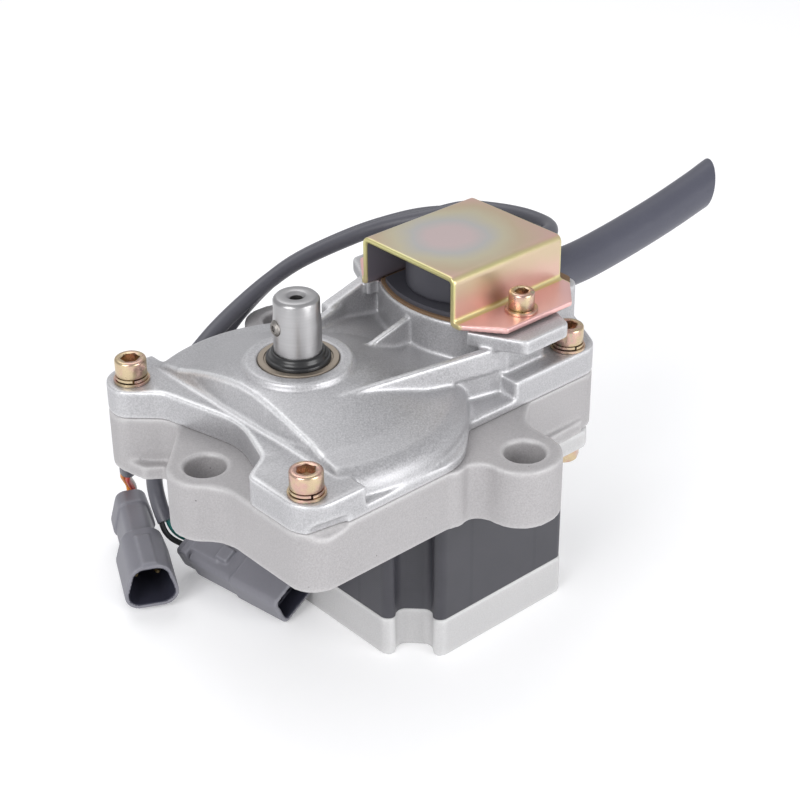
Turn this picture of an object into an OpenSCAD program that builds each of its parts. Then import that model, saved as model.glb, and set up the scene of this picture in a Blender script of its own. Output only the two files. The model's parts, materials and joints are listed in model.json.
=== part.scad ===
// Engine governor actuator: a stepper motor under a cast gear case turns a short
// output shaft through spur gears; a potentiometer under a sheet bracket reads the angle.
// Millimetres, +Z up, origin on the motor axis at the bottom face of the motor.

/* [Motor] */
// side of the square stepper motor
motor_side = 57; // [56.4:0.1:57.6]
// height of the rear end cap
motor_rear_h = 10.2; // [9.6:0.1:11]
// height of the black lamination stack
motor_stack_h = 27.3; // [26:0.1:29]
// thickness of the front flange
motor_front_h = 4.8; // [4.6:0.1:5.4]

/* [Gear case] */
// height of the case body, ears included
body_h = 14.1; // [13.9:0.1:15]
// floor thickness of the case body
floor_t = 3.4; // [3.2:0.1:3.5]
// thickness of the thin flange of the cover
flange_h = 2.4; // [2.2:0.1:2.8]
// height of the screw seats above the parting plane
seat_h = 6.8; // [6.4:0.1:7.2]
// height of the flat plateau above the parting plane
plateau_h = 11.6; // [11.4:0.1:12.4]
// height of the raised ring around the shaft
hub_h = 2.9; // [2.6:0.1:3.2]
// radius of the raised ring around the shaft
hub_r = 11.4; // [11.2:0.1:11.8]
// radius of the domed gear bulge
dome_r = 36.6; // [36.2:0.1:36.9]
// height of the sensor tower above the parting plane
tower_h = 16.7; // [16.3:0.1:17.4]
// radius of the holes in the three mounting ears
ear_hole_r = 4.5; // [4.2:0.05:4.8]
// radius of the mounting ears
ear_r = 8.2; // [7.9:0.1:8.6]

/* [Gears] */
// module of all gears
gear_module = 0.8; // [0.795:0.001:0.805]
// width of the wide output gear
gear_w = 8.8; // [8.6:0.1:9]
// width of the motor pinion
pinion_w = 4; // [3.8:0.1:4.2]
// width of the sensor gear
sensor_gear_w = 3.8; // [3.6:0.1:4]

/* [Output shaft] */
// diameter of the output shaft above the seal
shaft_d = 10.4; // [10:0.1:10.8]
// height of the shaft top above the raised ring
shaft_out = 16.5; // [16:0.1:18]
// diameter of the cross pin
cross_pin_d = 3.6; // [3.4:0.1:4]

/* [Bracket] */
// thickness of the bracket sheet
sheet_t = 1.3; // [1.2:0.1:1.5]
// length of the bracket
bracket_l = 33.5; // [33:0.1:34]
// width over the bracket side walls
bracket_w = 30.2; // [30:0.1:30.6]
// height from the gasket to the bracket top
bracket_h = 11.9; // [11.6:0.1:12.4]

/* [Screws] */
// thread diameter of the cover screws
screw_d = 4; // [3.9:0.05:4.1]
// head diameter of the cover screws
head_d = 7; // [6.8:0.1:7.2]
// head height of the cover screws
head_h = 4; // [3.8:0.1:4.4]

/* [Cords] */
// diameter of the two grey cables
cable_d = 4; // [3.8:0.1:4.2]
// outer diameter of the breather tube
tube_d = 10; // [9.8:0.1:10.4]
// bore of the breather tube
tube_bore = 7; // [6.8:0.1:7.4]

/* [Clearances] */
// radial running clearance of turning shafts
run_gap = 0.05; // [0.02:0.01:0.08]
// thinning of each tooth flank
flank_gap = 0.06; // [0.05:0.01:0.08]
// gap between pieces that must not touch
free_gap = 0.4; // [0.3:0.05:0.5]
// radial clearance around screws
screw_gap = 0.25; // [0.2:0.05:0.3]
// clearance between the corner grooves of the motor and the nuts
notch_gap = 0.2; // [0.15:0.05:0.3]

/* [Hidden] */
$fn = 64;
pinion_teeth = 16;
output_teeth = 72;
sensor_teeth = 48;
press_angle = 25;
case_z = motor_rear_h + motor_stack_h + motor_front_h;
part_z = case_z + body_h;
floor_z = case_z + floor_t;
flange_z = part_z + flange_h;
seat_z = part_z + seat_h;
plateau_z = part_z + plateau_h;
hub_z = plateau_z + hub_h;
tower_z = part_z + tower_h;
shaft_x = -gear_module*(pinion_teeth + output_teeth)/2;
sensor_x = shaft_x + gear_module*(output_teeth + sensor_teeth)/2;
shaft_r = shaft_d/2;
shaft_top = hub_z + shaft_out;
gear_z = floor_z + 0.7;
gear_top = gear_z + gear_w;
sensor_gear_z = gear_top - sensor_gear_w;
gear_tip_r = gear_module*(output_teeth/2 + 0.95);
sensor_tip_r = gear_module*(sensor_teeth/2 + 0.95);
pinion_tip_r = gear_module*(pinion_teeth/2 + 0.95);
gear_room_r = gear_tip_r + 1;
sensor_room_r = sensor_tip_r + 1;
sector_half = 360/output_teeth*11.5;
// output shaft seats and bearings
low_seat_r = 2.5;
gear_seat_r = 6.5;
top_seat_r = 6;
low_bearing_r = 6.5;
top_bearing_r = 12;
low_bearing_h = 4;
top_bearing_h = 6;
low_bearing_z = case_z + 1;
low_boss_r = low_bearing_r + 1.5;
low_boss_z = low_bearing_z + low_bearing_h;
gear_hub_r = 12;
top_bearing_z = plateau_z - 3 - top_bearing_h;
bearing_top = top_bearing_z + top_bearing_h;
top_boss_r = top_bearing_r + 2.4;
seal_r = 9.1;
seal_lip_r = 7.2;
pin_z = hub_z + 10;
pin_out = 0.5;
free_end_l = 3.4;
free_end_r = shaft_r - 0.2;
free_end_z = shaft_top - 0.8 - free_end_l;
// motor inside
pilot_r = 19;
pilot_h = 1.6;
rotor_r = 13.6;
rotor_shaft_r = 3.175;
motor_bearing_r = 9.5;
motor_bearing_h = 5;
rear_bearing_z = 3;
front_bearing_z = case_z - 5.8;
screw_edge = 4.93;
motor_screw_at = motor_side/2 - screw_edge;
motor_chamfer = 9.7;
motor_screw_r = 2;
motor_head_r = 3.5;
// cover screws: left back, left front, right front, right back
cover_screws_at = [[-58, 30.4], [-58.6, -31], [motor_screw_at, -motor_screw_at],
  [motor_screw_at, motor_screw_at]];
through = [false, false, true, true];
washer_r = 4.2;
washer_h = 0.7;
spring_r = 3.8;
spring_h = 0.9;
head_z = seat_z + washer_h + spring_h;
nut_r = 4;
nut_h = 3.2;
flange_low = case_z - motor_front_h;
// ears
left_ear = [-61.1, 0];
side_ear = [-7.7, 41.2];
// bracket and sensor
gasket_t = 0.7;
gasket_inset = 0.5;
foot_z = tower_z + gasket_t;
foot_y = 24.4;
bracket_x = -3.4;
bracket_y = 0.6;
bracket_top = foot_z + bracket_h;
bracket_screw = [12, 19.9];
bracket_screw_r = 1.5;
bracket_head_r = 2.9;
bracket_head_h = 4;
small_washer_r = 3.7;
small_washer_h = 0.8;
pot_r = bracket_w/2 - bracket_y - sheet_t - free_gap;
pot_flange_r = 15.4;
pot_flange_h = 1.2;
pot_top = bracket_top - sheet_t - free_gap;
pot_neck_r = 7.8;
tower_room_r = 12.4;
spindle_r = 2.5;
spindle_top = foot_z + 2.6;
lead_z = foot_z + 4.2;
lead_r = 3;
lead_x = 33;
// breather nipple and cable grommet on the end wall
end_x = 34.8;
nipple_z = plateau_z - 0.3;
nipple_y = 0;
nipple_r = tube_bore/2 - 0.35;
collar_r = 4.2;
collar_h = 3.4;
grommet_y = 11.4;
grommet_z = plateau_z - 0.5;
grommet_r = 4.2;
grommet_h = 6;
// connectors: middle of the mouth, heading and tilt
plug_a_at = [-57.9, 30.4, 7.2];
plug_a_turn = 244;
plug_a_tilt = 4;
plug_b_at = [-35.2, 5.4, 6.5];
plug_b_turn = 278;
plug_b_roll = 25;
plug_a_l = 32;
plug_a_deep = 13.4;
plug_b_l = 34;
// cord routes, laid by hand
tube_route = [[end_x + collar_h, 0, nipple_z], [42, 0, 67.2], [52, 0, 66.9], [63, 0, 67.8], [74, 0, 69.2],
  [84, 0, 70.8], [94, 0, 72.8], [104, 0, 75.2]];
tube_cut = [98.6, 0, 73.9];
tube_cut_turn = [0, 29.1, -29.3];
sensor_route = [[lead_x - 1, 0, lead_z], [37, 0, 77.8], [42.5, 1.2, 77.2], [46.3, 6, 76.4],
  [47, 14, 75.8], [45.5, 23, 74.8], [42, 30, 74], [35.8, 35.7, 72], [26.7, 44.2, 69], [18, 49, 66.2],
  [6, 51, 64], [-4, 50.4, 62], [-15.2, 47.7, 60], [-25.2, 44.2, 58.4], [-33.2, 41.6, 56],
  [-40, 42.2, 51.4], [-45, 45.4, 44], [-47.5, 49, 36], [-47.5, 52.4, 28], [-46.6, 54.4, 23.4]];
motor_route = [[end_x + grommet_h - 1, grommet_y, grommet_z], [45, 12.6, 67.3], [51, 17.6, 67.4],
  [54, 26, 67.8], [50, 35.4, 68.4], [41, 43, 68.4], [31.6, 49.6, 66.2], [23, 55.4, 62.8], [10.5, 57, 60.6],
  [0, 55.8, 58.6], [-12.4, 51, 56.8], [-20.8, 47, 55.2], [-28, 44, 53], [-34, 43, 48.6],
  [-39, 43.4, 42], [-42, 45, 35], [-43, 47.4, 28], [-43.4, 48, 21.6], [-44, 45.8, 16.6],
  [-44.4, 43, 13.4]];
sensor_wires_at = [[0.9, 0.5, 0], [-0.7, 0.6, 0.5], [-0.1, -0.7, -0.4]];
sensor_wire_route = [[-46.8, 54, 24.4], [-45.6, 57, 20], [-43, 60.6, 16], [-41.2, 62, 12.6],
  [-41.8, 60.8, 10.2], [-43.2, 58.2, 9.3]];
motor_wires_at = [[0.9, 0, 0.4], [-0.9, 0, -0.2]];
motor_wire_route = [[-44.3, 44, 14.2], [-43.9, 43.2, 11], [-42.6, 42.2, 8.4], [-40.4, 40, 6.5],
  [-39.9, 37.8, 6.2]];

// sections along a cord, carried on without twist
function unit(v) = v/norm(v);
function tangent(p, i) = unit(p[min(i + 1, len(p) - 1)] - p[max(i - 1, 0)]);
function flat_to(u, t) = unit(u - (u*t)*t);
function frames(p, u0) = [for (i = 0, u = flat_to(u0, tangent(p, 0)); i < len(p);
  i = i + 1, u = flat_to(u, tangent(p, min(i, len(p) - 1)))) u];
function ring(c, u, w, r, s) = [for (k = [0 : s - 1]) c + r*(cos(360*k/s)*u + sin(360*k/s)*w)];

module cord(p, r, s, u0) {
  f = frames(p, u0);
  n = len(p);
  pts = [for (i = [0 : n - 1]) each ring(p[i], f[i], cross(tangent(p, i), f[i]), r, s)];
  sides = [for (i = [0 : n - 2]) for (k = [0 : s - 1])
    [i*s + k, (i + 1)*s + k, (i + 1)*s + (k + 1)%s, i*s + (k + 1)%s]];
  start = [for (k = [0 : s - 1]) k];
  finish = [for (k = [s - 1 : -1 : 0]) (n - 1)*s + k];
  polyhedron(pts, concat([start], sides, [finish]), convexity = 8);
}

// outline with rounded corners from [x, y, radius]
function corner(a, p, b) =
  let (q = [p[0], p[1]], u = unit([a[0], a[1]] - q), v = unit([b[0], b[1]] - q), h = acos(u*v)/2)
  p[2] <= 0 ? [q] :
  let (c = q + unit(u + v)*p[2]/sin(h), s = q + u*p[2]/tan(h) - c, e = q + v*p[2]/tan(h) - c,
    a0 = atan2(s[1], s[0]), d = atan2(s[0]*e[1] - s[1]*e[0], s*e), n = max(2, ceil(abs(d)/11)))
  [for (k = [0 : n]) c + p[2]*[cos(a0 + d*k/n), sin(a0 + d*k/n)]];
function rounded(p) = [for (i = [0 : len(p) - 1])
  each corner(p[(i + len(p) - 1)%len(p)], p[i], p[(i + 1)%len(p)])];

// involute gear outline
function roll(r, rb) = sqrt(max(0, r*r/(rb*rb) - 1))*180/PI;
function inv(r, rb) = roll(r, rb) - atan(roll(r, rb)*PI/180);
function gear_points(z, m) =
  let (rp = m*z/2, rb = rp*cos(press_angle), rt = rp + 0.95*m, rr = rp - 1.2*m,
    half = 90/z - (flank_gap/rp)*180/PI, r0 = max(rb, rr + 0.1*m),
    rs = [r0, r0 + (rt - r0)*0.35, r0 + (rt - r0)*0.7, rt])
  [for (i = [0 : z - 1]) each
    let (w = 360*i/z, at = [for (r = rs) half + inv(rp, rb) - inv(r, rb)])
    concat([rr*[cos(w - at[0] - 8/z), sin(w - at[0] - 8/z)]],
      [for (k = [0 : 3]) rs[k]*[cos(w - at[k]), sin(w - at[k])]],
      [for (k = [3 : -1 : 0]) rs[k]*[cos(w + at[k]), sin(w + at[k])]],
      [rr*[cos(w + at[0] + 8/z), sin(w + at[0] + 8/z)]])];

// plan shapes of the gear case
facet_x = -50.6;
facet_slope = 58;
pocket_x = shaft_x + hub_r + 1.8;
pocket_tilt = 10.8;
edge_x = motor_screw_at + 5.4;
tower_side_x = motor_screw_at - 4.57;
tower_front_r = 28;
tower_front_x = 24.4;
edge_y = motor_screw_at + 4.1;
front_edge = [[-63.5, -37, 6.6], [-21.3, -37, 13.3], [-10.9, -edge_y, 1.7], [edge_x, -edge_y, 5.8],
  [end_x + 1.7, -13.3, 6.6]];
back_edge = [[end_x + 1.7, 13.3, 6.6], [edge_x, edge_y, 5.8], [-10.9, edge_y, 1.7], [-21.3, 37, 13.3],
  [-63.5, 37, 6.6]];
left_edge = [[-63.5, 27.8, 4.2], [-56.6, 21.2, 5], [-51.6, 0, 16.6], [-56.6, -13.7, 4.2],
  [-63.5, -17.9, 2.9]];
side_ear_edge = [[-22.9, -36.9, 0], [-17.5, -37.6, 4.2],
  [side_ear[0] - ear_r, -side_ear[1] - ear_r, ear_r - 0.01],
  [side_ear[0] + ear_r, -side_ear[1] - ear_r, ear_r - 0.01], [side_ear[0] + ear_r, -32.8, 6.6],
  [7.8, -27.6, 0], [-8.8, -25, 0], [-22.9, -30, 0]];
tower_edge = [[2.7, -16.6, 0.8], [3.7, -23.3, 1.2], [tower_side_x - 2.4, -23.3, 1.7],
  [tower_side_x, -17.6, 1.7], [end_x, -16.6, 3.3], [end_x, 16.6, 3.3], [tower_side_x, 17.6, 1.7],
  [tower_side_x - 2.4, 23.3, 1.7], [3.7, 23.3, 1.2], [2.7, 16.6, 0.8]];
pad_edge = [[-1.8, -16.2, 0.5], [4.5, -28.9, 1.7], [tower_side_x - 1, -28.9, 1.7],
  [tower_side_x + 3.8, -16.2, 0.5]];

module case_outline() {
  polygon(rounded(concat(front_edge, back_edge, left_edge)));
}

module both_sides() {
  children();
  mirror([0, 1, 0]) children();
}

module at_screws() {
  for (p = cover_screws_at) translate(p) children();
}

module motor_corners() {
  for (x = [-1, 1], y = [-1, 1]) translate([x*motor_screw_at, y*motor_screw_at, 0]) children();
}

module left_motor_corners() {
  for (y = [-1, 1]) translate([-motor_screw_at, y*motor_screw_at, 0]) children();
}

// prying slot below the front screw seat
module pry_slot() {
  translate([-57.9, -37.5, part_z + 0.6]) rotate([0, 90, -9]) cylinder(r = 2.1, h = 9.4, center = true);
}

module body_outline() {
  case_outline();
  both_sides() polygon(rounded(side_ear_edge));
  translate(left_ear) circle(ear_r);
  polygon([[-67.4, 5.2], [-55.8, 17], [-50.3, 17], [-50.3, -18.3], [-63.4, -19.1], [-63.4, -4.2]]);
  both_sides() translate([-22.9, -31.9]) circle(5.8);
}

module web_outline() {
  body_outline();
  polygon(rounded([[-67.3, 5.5, 0], [-58.2, 19.6, 0.8], [-62, 22.4, 1.7], [-63.3, 28.2, 0.8],
    [-50.3, 33.2, 0], [-50.3, 3.3, 0]]));
  both_sides() polygon(rounded([[0.4, -38.2, 0], [3.3, -31.6, 3.3], [9.5, -29.4, 5], [24.5, -28.6, 2.5],
    [28, -22.4, 1.7], [-4.6, -24.9, 0]]));
}

// sweep of the toothed sector, closed on the side of the left ear
module gear_room() {
  intersection() {
    translate([shaft_x, 0]) circle(gear_room_r);
    translate([shaft_x - gear_hub_r - 1.4, -60]) square(120);
  }
}

// cast gear case body: floor, walls, three ears and the low bearing boss
module gear_case_body() {
  color([0.72, 0.72, 0.72]) difference() {
    union() {
      difference() {
        union() {
          translate([0, 0, case_z]) linear_extrude(floor_t) web_outline();
          translate([0, 0, case_z]) linear_extrude(body_h) body_outline();
        }
        translate([0, 0, floor_z]) linear_extrude(body_h) gear_room();
        translate([sensor_x, 0, floor_z]) cylinder(r = sensor_room_r, h = body_h);
      }
      translate([shaft_x, 0, case_z]) cylinder(r = low_boss_r, h = low_boss_z - case_z);
    }
    // low bearing seat, motor pilot and pinion opening
    translate([shaft_x, 0, low_bearing_z]) cylinder(r = low_bearing_r, h = 20);
    translate([0, 0, case_z - 1]) cylinder(r = pilot_r, h = pilot_h + 1);
    translate([0, 0, case_z - 1]) cylinder(r = pinion_tip_r + 1, h = 20);
    // ear holes with a small rim chamfer
    translate([left_ear[0], left_ear[1], case_z - 1]) cylinder(r = ear_hole_r, h = body_h + 2);
    translate([left_ear[0], left_ear[1], part_z - 0.5])
      cylinder(r1 = ear_hole_r, r2 = ear_hole_r + 0.6, h = 0.6);
    both_sides() translate([side_ear[0], side_ear[1], case_z - 1])
      cylinder(r = ear_hole_r, h = body_h + 2);
    both_sides() translate([side_ear[0], side_ear[1], part_z - 0.5])
      cylinder(r1 = ear_hole_r, r2 = ear_hole_r + 0.6, h = 0.6);
    // threaded holes of the cover screws and the motor screws
    for (i = [0 : 3]) translate([cover_screws_at[i][0], cover_screws_at[i][1],
      through[i] ? case_z - 1 : case_z + 2.4])
      cylinder(r = screw_d/2 + (through[i] ? screw_gap : 0), h = body_h + 2);
    left_motor_corners() translate([0, 0, case_z - 1]) cylinder(r = motor_screw_r, h = 3.8);
    pry_slot();
  }
}

// dome profile about the shaft axis: gentle cone and a rounded shoulder
function dome_profile() = concat([[0, part_z], [dome_r, part_z], [dome_r, flange_z + 0.3]],
  [for (a = [10 : 10 : 70]) [dome_r - 6.2 + 6.2*cos(a), flange_z + 0.3 + (seat_z + 1.2 - flange_z)*sin(a)]],
  [[dome_r - 7.5, seat_z + 1.6], [hub_r + 0.8, plateau_z + 0.6], [0, plateau_z + 0.6]]);

module side_rib() {
  translate([shaft_x, -12, 0]) rotate([0, 0, -atan2(12, 48)]) translate([0, 1.1, 0]) rotate([90, 0, 0])
    linear_extrude(2.2) polygon([[-0.8, part_z + 1], [41.4, part_z + 1], [41.4, plateau_z + 1.8],
      [38.2, plateau_z + 1.7], [0, plateau_z + 0.1], [-0.8, plateau_z - 0.3]]);
}

module back_gusset() {
  translate([-11.8, 21.2, 0]) rotate([90, 0, 0]) linear_extrude(3.2)
    polygon([[0, plateau_z - 6], [15.5, plateau_z - 6], [15.5, tower_z - 0.3], [12, tower_z - 0.3],
      [0, plateau_z + 1.5]]);
}

module middle_rib() {
  translate([-18.4, 1.2, 0]) rotate([90, 0, 0]) linear_extrude(1.6)
    polygon([[0, plateau_z - 5], [18.4, plateau_z - 5], [18.4, plateau_z + 3.3],
      [14.6, plateau_z + 3.3], [0, plateau_z - 0.6]]);
}

// curved front of the tower, drawn in by an inset
module tower_front(inset) {
  translate([tower_front_x, 0]) circle(tower_front_r - inset, $fn = 128);
}

// tower with its curved front and the two overhanging screw pads
module tower() {
  translate([0, 0, part_z]) linear_extrude(tower_h) {
    polygon(rounded(tower_edge));
    intersection() {
      tower_front(0);
      translate([-5, -17]) square([18, 34]);
    }
  }
  both_sides() translate([0, 0, tower_z - 3.5]) linear_extrude(3.5) polygon(rounded(pad_edge));
}

// cast cover: flange, screw seats, gear dome, plateau with ribs and the sensor tower
module gear_case_cover() {
  color([0.75, 0.75, 0.76]) difference() {
    union() {
      translate([0, 0, part_z]) linear_extrude(flange_h) case_outline();
      translate([0, 0, part_z]) linear_extrude(seat_h) intersection() {
        case_outline();
        union() {
          translate([-148.2, -60]) square([100, 120]);
          translate([3.1, -60]) square([60, 120]);
        }
      }
      intersection() {
        translate([0, 0, part_z]) linear_extrude(30) case_outline();
        difference() {
          translate([shaft_x, 0, 0]) rotate_extrude($fn = 96) polygon(dome_profile());
          translate([facet_x, -60, seat_z]) rotate([0, -facet_slope, 0]) translate([-60, 0, 0])
            cube([100, 120, 60]);
        }
      }
      intersection() {
        translate([0, 0, part_z]) linear_extrude(plateau_h)
          polygon([[shaft_x, -11.1], [4.5, -21.1], [4.5, 21.1], [shaft_x, 11.1]]);
        translate([pocket_x, 0, plateau_z]) rotate([0, pocket_tilt, 0]) translate([-60, -60, -40])
          cube([120, 120, 40]);
      }
      translate([shaft_x, 0, 0]) rotate_extrude() polygon([[0, plateau_z - 1], [hub_r + 0.7, plateau_z - 1],
        [hub_r + 0.7, plateau_z], [hub_r, plateau_z + 1.1], [hub_r, hub_z - 0.6], [hub_r - 0.6, hub_z],
        [0, hub_z]]);
      both_sides() side_rib();
      back_gusset();
      middle_rib();
      tower();
    }
    // gear room under dome, plateau and tower
    difference() {
      translate([0, 0, part_z - 1]) linear_extrude(1.4 + seat_h - 3.2) gear_room();
      translate([shaft_x, 0, part_z + 0.6]) cylinder(r = top_boss_r, h = 20);
    }
    translate([sensor_x, 0, part_z - 1]) cylinder(r = sensor_room_r, h = 5);
    translate([sensor_x, 0, part_z]) cylinder(r = tower_room_r, h = tower_h - 3);
    // bearing seat, seal seat, sensor seat
    translate([shaft_x, 0, part_z - 1]) cylinder(r = top_bearing_r, h = bearing_top - part_z + 1);
    translate([shaft_x, 0, top_bearing_z]) cylinder(r = seal_r, h = 40);
    translate([sensor_x, 0, part_z]) cylinder(r = pot_neck_r, h = 40);
    // screw holes
    at_screws() translate([0, 0, part_z - 1]) cylinder(r = screw_d/2 + screw_gap, h = 40);
    both_sides() translate([bracket_screw[0], bracket_screw[1], tower_z - 8])
      cylinder(r = bracket_screw_r, h = 20);
    pry_slot();
    // nipple and grommet holes in the end wall
    translate([sensor_x + 8, nipple_y, nipple_z]) rotate([0, 90, 0]) cylinder(r = nipple_r, h = 30);
    translate([sensor_x, grommet_y, grommet_z]) rotate([0, 90, 0]) cylinder(r = grommet_r - 1, h = 40);
  }
}

module output_shaft() {
  color([0.8, 0.8, 0.81]) difference() {
    translate([shaft_x, 0, 0]) union() {
      translate([0, 0, low_bearing_z + 0.4]) cylinder(r = low_seat_r, h = 6);
      translate([0, 0, low_boss_z + 0.5]) cylinder(r = gear_seat_r, h = top_bearing_z - low_boss_z - 1);
      translate([0, 0, low_boss_z + 2]) cylinder(r = top_seat_r, h = bearing_top - low_boss_z - 2);
      translate([0, 0, low_boss_z + 2]) cylinder(r = shaft_r, h = free_end_z - low_boss_z - 2);
      translate([0, 0, free_end_z - 1]) cylinder(r = free_end_r, h = free_end_l + 1);
      translate([0, 0, shaft_top - 0.8]) cylinder(r1 = free_end_r, r2 = free_end_r - 0.7, h = 0.8);
    }
    translate([shaft_x, 0, shaft_top - 6]) cylinder(r = 1.4, h = 8);
    translate([shaft_x, 0, shaft_top - 0.6]) cylinder(r1 = 1.4, r2 = 2.1, h = 0.7);
    translate([shaft_x, 0, pin_z]) rotate([0, -90, -12]) cylinder(r = cross_pin_d/2, h = 30, center = true);
  }
}

module shaft_cross_pin() {
  color([0.62, 0.58, 0.52]) translate([shaft_x, 0, pin_z]) rotate([0, -90, -12]) difference() {
    union() {
      translate([0, 0, -shaft_r + 0.8]) cylinder(r = cross_pin_d/2, h = 2*shaft_r - 0.8);
      translate([0, 0, shaft_r]) cylinder(r1 = cross_pin_d/2, r2 = cross_pin_d/2 - 0.5, h = pin_out);
    }
    translate([0, 0, shaft_r - 0.6]) cylinder(r = 0.7, h = 3);
  }
}

// toothed sector with a round hub
module output_gear() {
  e = 2*gear_tip_r;
  color([0.6, 0.6, 0.62]) difference() {
    translate([shaft_x, 0, gear_z]) linear_extrude(gear_w) union() {
      intersection() {
        polygon(gear_points(output_teeth, gear_module));
        polygon([[0, 0], [e*cos(sector_half), -e*sin(sector_half)], [e, -e], [e, e],
          [e*cos(sector_half), e*sin(sector_half)]]);
      }
      circle(gear_hub_r);
    }
    translate([shaft_x, 0, gear_z - 1]) cylinder(r = gear_seat_r, h = gear_w + 2);
    translate([shaft_x, 0, gear_z - 1]) cylinder(r = low_boss_r + 0.6, h = low_boss_z - gear_z + 1.5);
    for (a = [-36, 0, 36]) translate([shaft_x, 0, gear_z - 1]) rotate([0, 0, a]) translate([19.5, 0, 0])
      cylinder(r = 4.4, h = gear_w + 2);
  }
}

module bearing(r_in, r_out, h) {
  difference() {
    cylinder(r = r_out, h = h);
    translate([0, 0, -1]) cylinder(r = r_in, h = h + 2);
    for (z = [-0.1, h - 0.4]) translate([0, 0, z]) difference() {
      cylinder(r = r_out - 1.3, h = 0.5);
      translate([0, 0, -1]) cylinder(r = r_in + 1.3, h = 3);
    }
  }
}

module low_bearing() {
  color([0.66, 0.67, 0.69]) translate([shaft_x, 0, low_bearing_z])
    bearing(low_seat_r + run_gap, low_bearing_r, low_bearing_h);
}

module top_bearing() {
  color([0.66, 0.67, 0.69]) translate([shaft_x, 0, top_bearing_z])
    bearing(top_seat_r + run_gap, top_bearing_r, top_bearing_h);
}

// rubber lip seal and its outer metal ring
module dust_seal() {
  b = bearing_top + 0.5;
  color([0.05, 0.05, 0.06]) translate([shaft_x, 0, 0]) rotate_extrude() polygon([
    [shaft_r + 1.3, b], [seal_lip_r, b], [seal_lip_r, hub_z + 1.3], [seal_lip_r - 0.3, hub_z + 1.6],
    [shaft_r + 1.1, hub_z + 2], [shaft_r + 0.8, hub_z + 2.7], [shaft_r + run_gap, hub_z + 2.95],
    [shaft_r + run_gap, hub_z + 2], [shaft_r + 1, hub_z + 0.8]]);
}

module seal_ring() {
  b = bearing_top;
  color([0.62, 0.55, 0.45]) translate([shaft_x, 0, 0]) rotate_extrude() polygon([
    [seal_lip_r, b], [seal_r, b], [seal_r, hub_z + 0.3], [seal_r - 0.5, hub_z + 0.8],
    [seal_lip_r, hub_z + 1.1]]);
}

// one quarter of the motor plan: chamfered corner with a round-bottomed groove for the nut
function motor_corner(e) =
  let (d = (2*e - motor_chamfer)/sqrt(2), g = nut_r + notch_gap, b = motor_screw_at*sqrt(2) - g,
    way = [[-g, d, 1.5], [-g, b, 2.3], [g, b, 2.3], [g, d, 1.5]])
  concat([[e, e - motor_chamfer, 2.2]],
    [for (p = way) [(p[1] - p[0])/sqrt(2), (p[1] + p[0])/sqrt(2), p[2]]],
    [[e - motor_chamfer, e, 2.2]]);

module motor_outline(s) {
  polygon(rounded([for (k = [0 : 3]) each [for (p = motor_corner(s/2))
    [p[0]*cos(90*k) - p[1]*sin(90*k), p[0]*sin(90*k) + p[1]*cos(90*k), p[2]]]]));
}

module motor_rear_cap() {
  color([0.78, 0.77, 0.77]) difference() {
    linear_extrude(motor_rear_h) motor_outline(motor_side);
    translate([0, 0, rear_bearing_z]) cylinder(r = motor_bearing_r, h = 20);
    translate([0, 0, rear_bearing_z + motor_bearing_h]) cylinder(r = rotor_r + 4, h = 20);
  }
}

module motor_stator() {
  color([0.1, 0.1, 0.12]) difference() {
    translate([0, 0, motor_rear_h]) linear_extrude(motor_stack_h) motor_outline(motor_side - 0.4);
    translate([0, 0, motor_rear_h - 1]) cylinder(r = rotor_r + free_gap, h = motor_stack_h + 2);
    for (a = [0 : 45 : 315]) rotate([0, 0, a]) translate([rotor_r + 2.4, 0, motor_rear_h - 1])
      cylinder(r = 1.8, h = motor_stack_h + 2, $fn = 24);
  }
}

module motor_front_cap() {
  e = motor_side/2 - 0.3;
  color([0.74, 0.74, 0.74]) difference() {
    union() {
      translate([0, 0, case_z - motor_front_h]) linear_extrude(motor_front_h)
        polygon(rounded([[-e, -e, 3], [e, -e, 3], [e, e, 3], [-e, e, 3]]));
      translate([0, 0, case_z]) cylinder(r = pilot_r, h = pilot_h);
      translate([0, 0, front_bearing_z - 0.6]) cylinder(r = rotor_r - 1, h = 4);
    }
    translate([0, 0, front_bearing_z - 1]) cylinder(r = motor_bearing_r, h = motor_bearing_h + 1);
    translate([0, 0, case_z - 2]) cylinder(r = motor_bearing_r - 2, h = 20);
    motor_corners() translate([0, 0, case_z - motor_front_h - 1])
      cylinder(r = motor_screw_r + screw_gap, h = motor_front_h + 2);
  }
}

module motor_rotor() {
  color([0.55, 0.55, 0.57]) {
    translate([0, 0, motor_rear_h + 0.6]) cylinder(r = rotor_r, h = front_bearing_z - motor_rear_h - 2);
    translate([0, 0, rear_bearing_z + 0.4])
      cylinder(r = rotor_shaft_r, h = gear_z + pinion_w - rear_bearing_z - 0.4);
  }
}

module motor_bearings() {
  color([0.66, 0.67, 0.69]) {
    translate([0, 0, rear_bearing_z]) bearing(rotor_shaft_r + run_gap, motor_bearing_r, motor_bearing_h);
    translate([0, 0, front_bearing_z]) bearing(rotor_shaft_r + run_gap, motor_bearing_r, motor_bearing_h);
  }
}

module motor_pinion() {
  color([0.7, 0.62, 0.4]) difference() {
    translate([0, 0, gear_z]) rotate([0, 0, 180/pinion_teeth]) linear_extrude(pinion_w)
      polygon(gear_points(pinion_teeth, gear_module));
    translate([0, 0, gear_z - 1]) cylinder(r = rotor_shaft_r, h = pinion_w + 2);
  }
}

module cap_screw(r, l, hr, hh) {
  difference() {
    union() {
      translate([0, 0, -l]) cylinder(r = r, h = l + 0.5);
      cylinder(r = hr, h = hh - 0.4);
      translate([0, 0, hh - 0.4]) cylinder(r1 = hr, r2 = hr - 0.4, h = 0.4);
    }
    translate([0, 0, hh - 2.2]) cylinder(r = r*0.93, h = 4, $fn = 6);
  }
}

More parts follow.
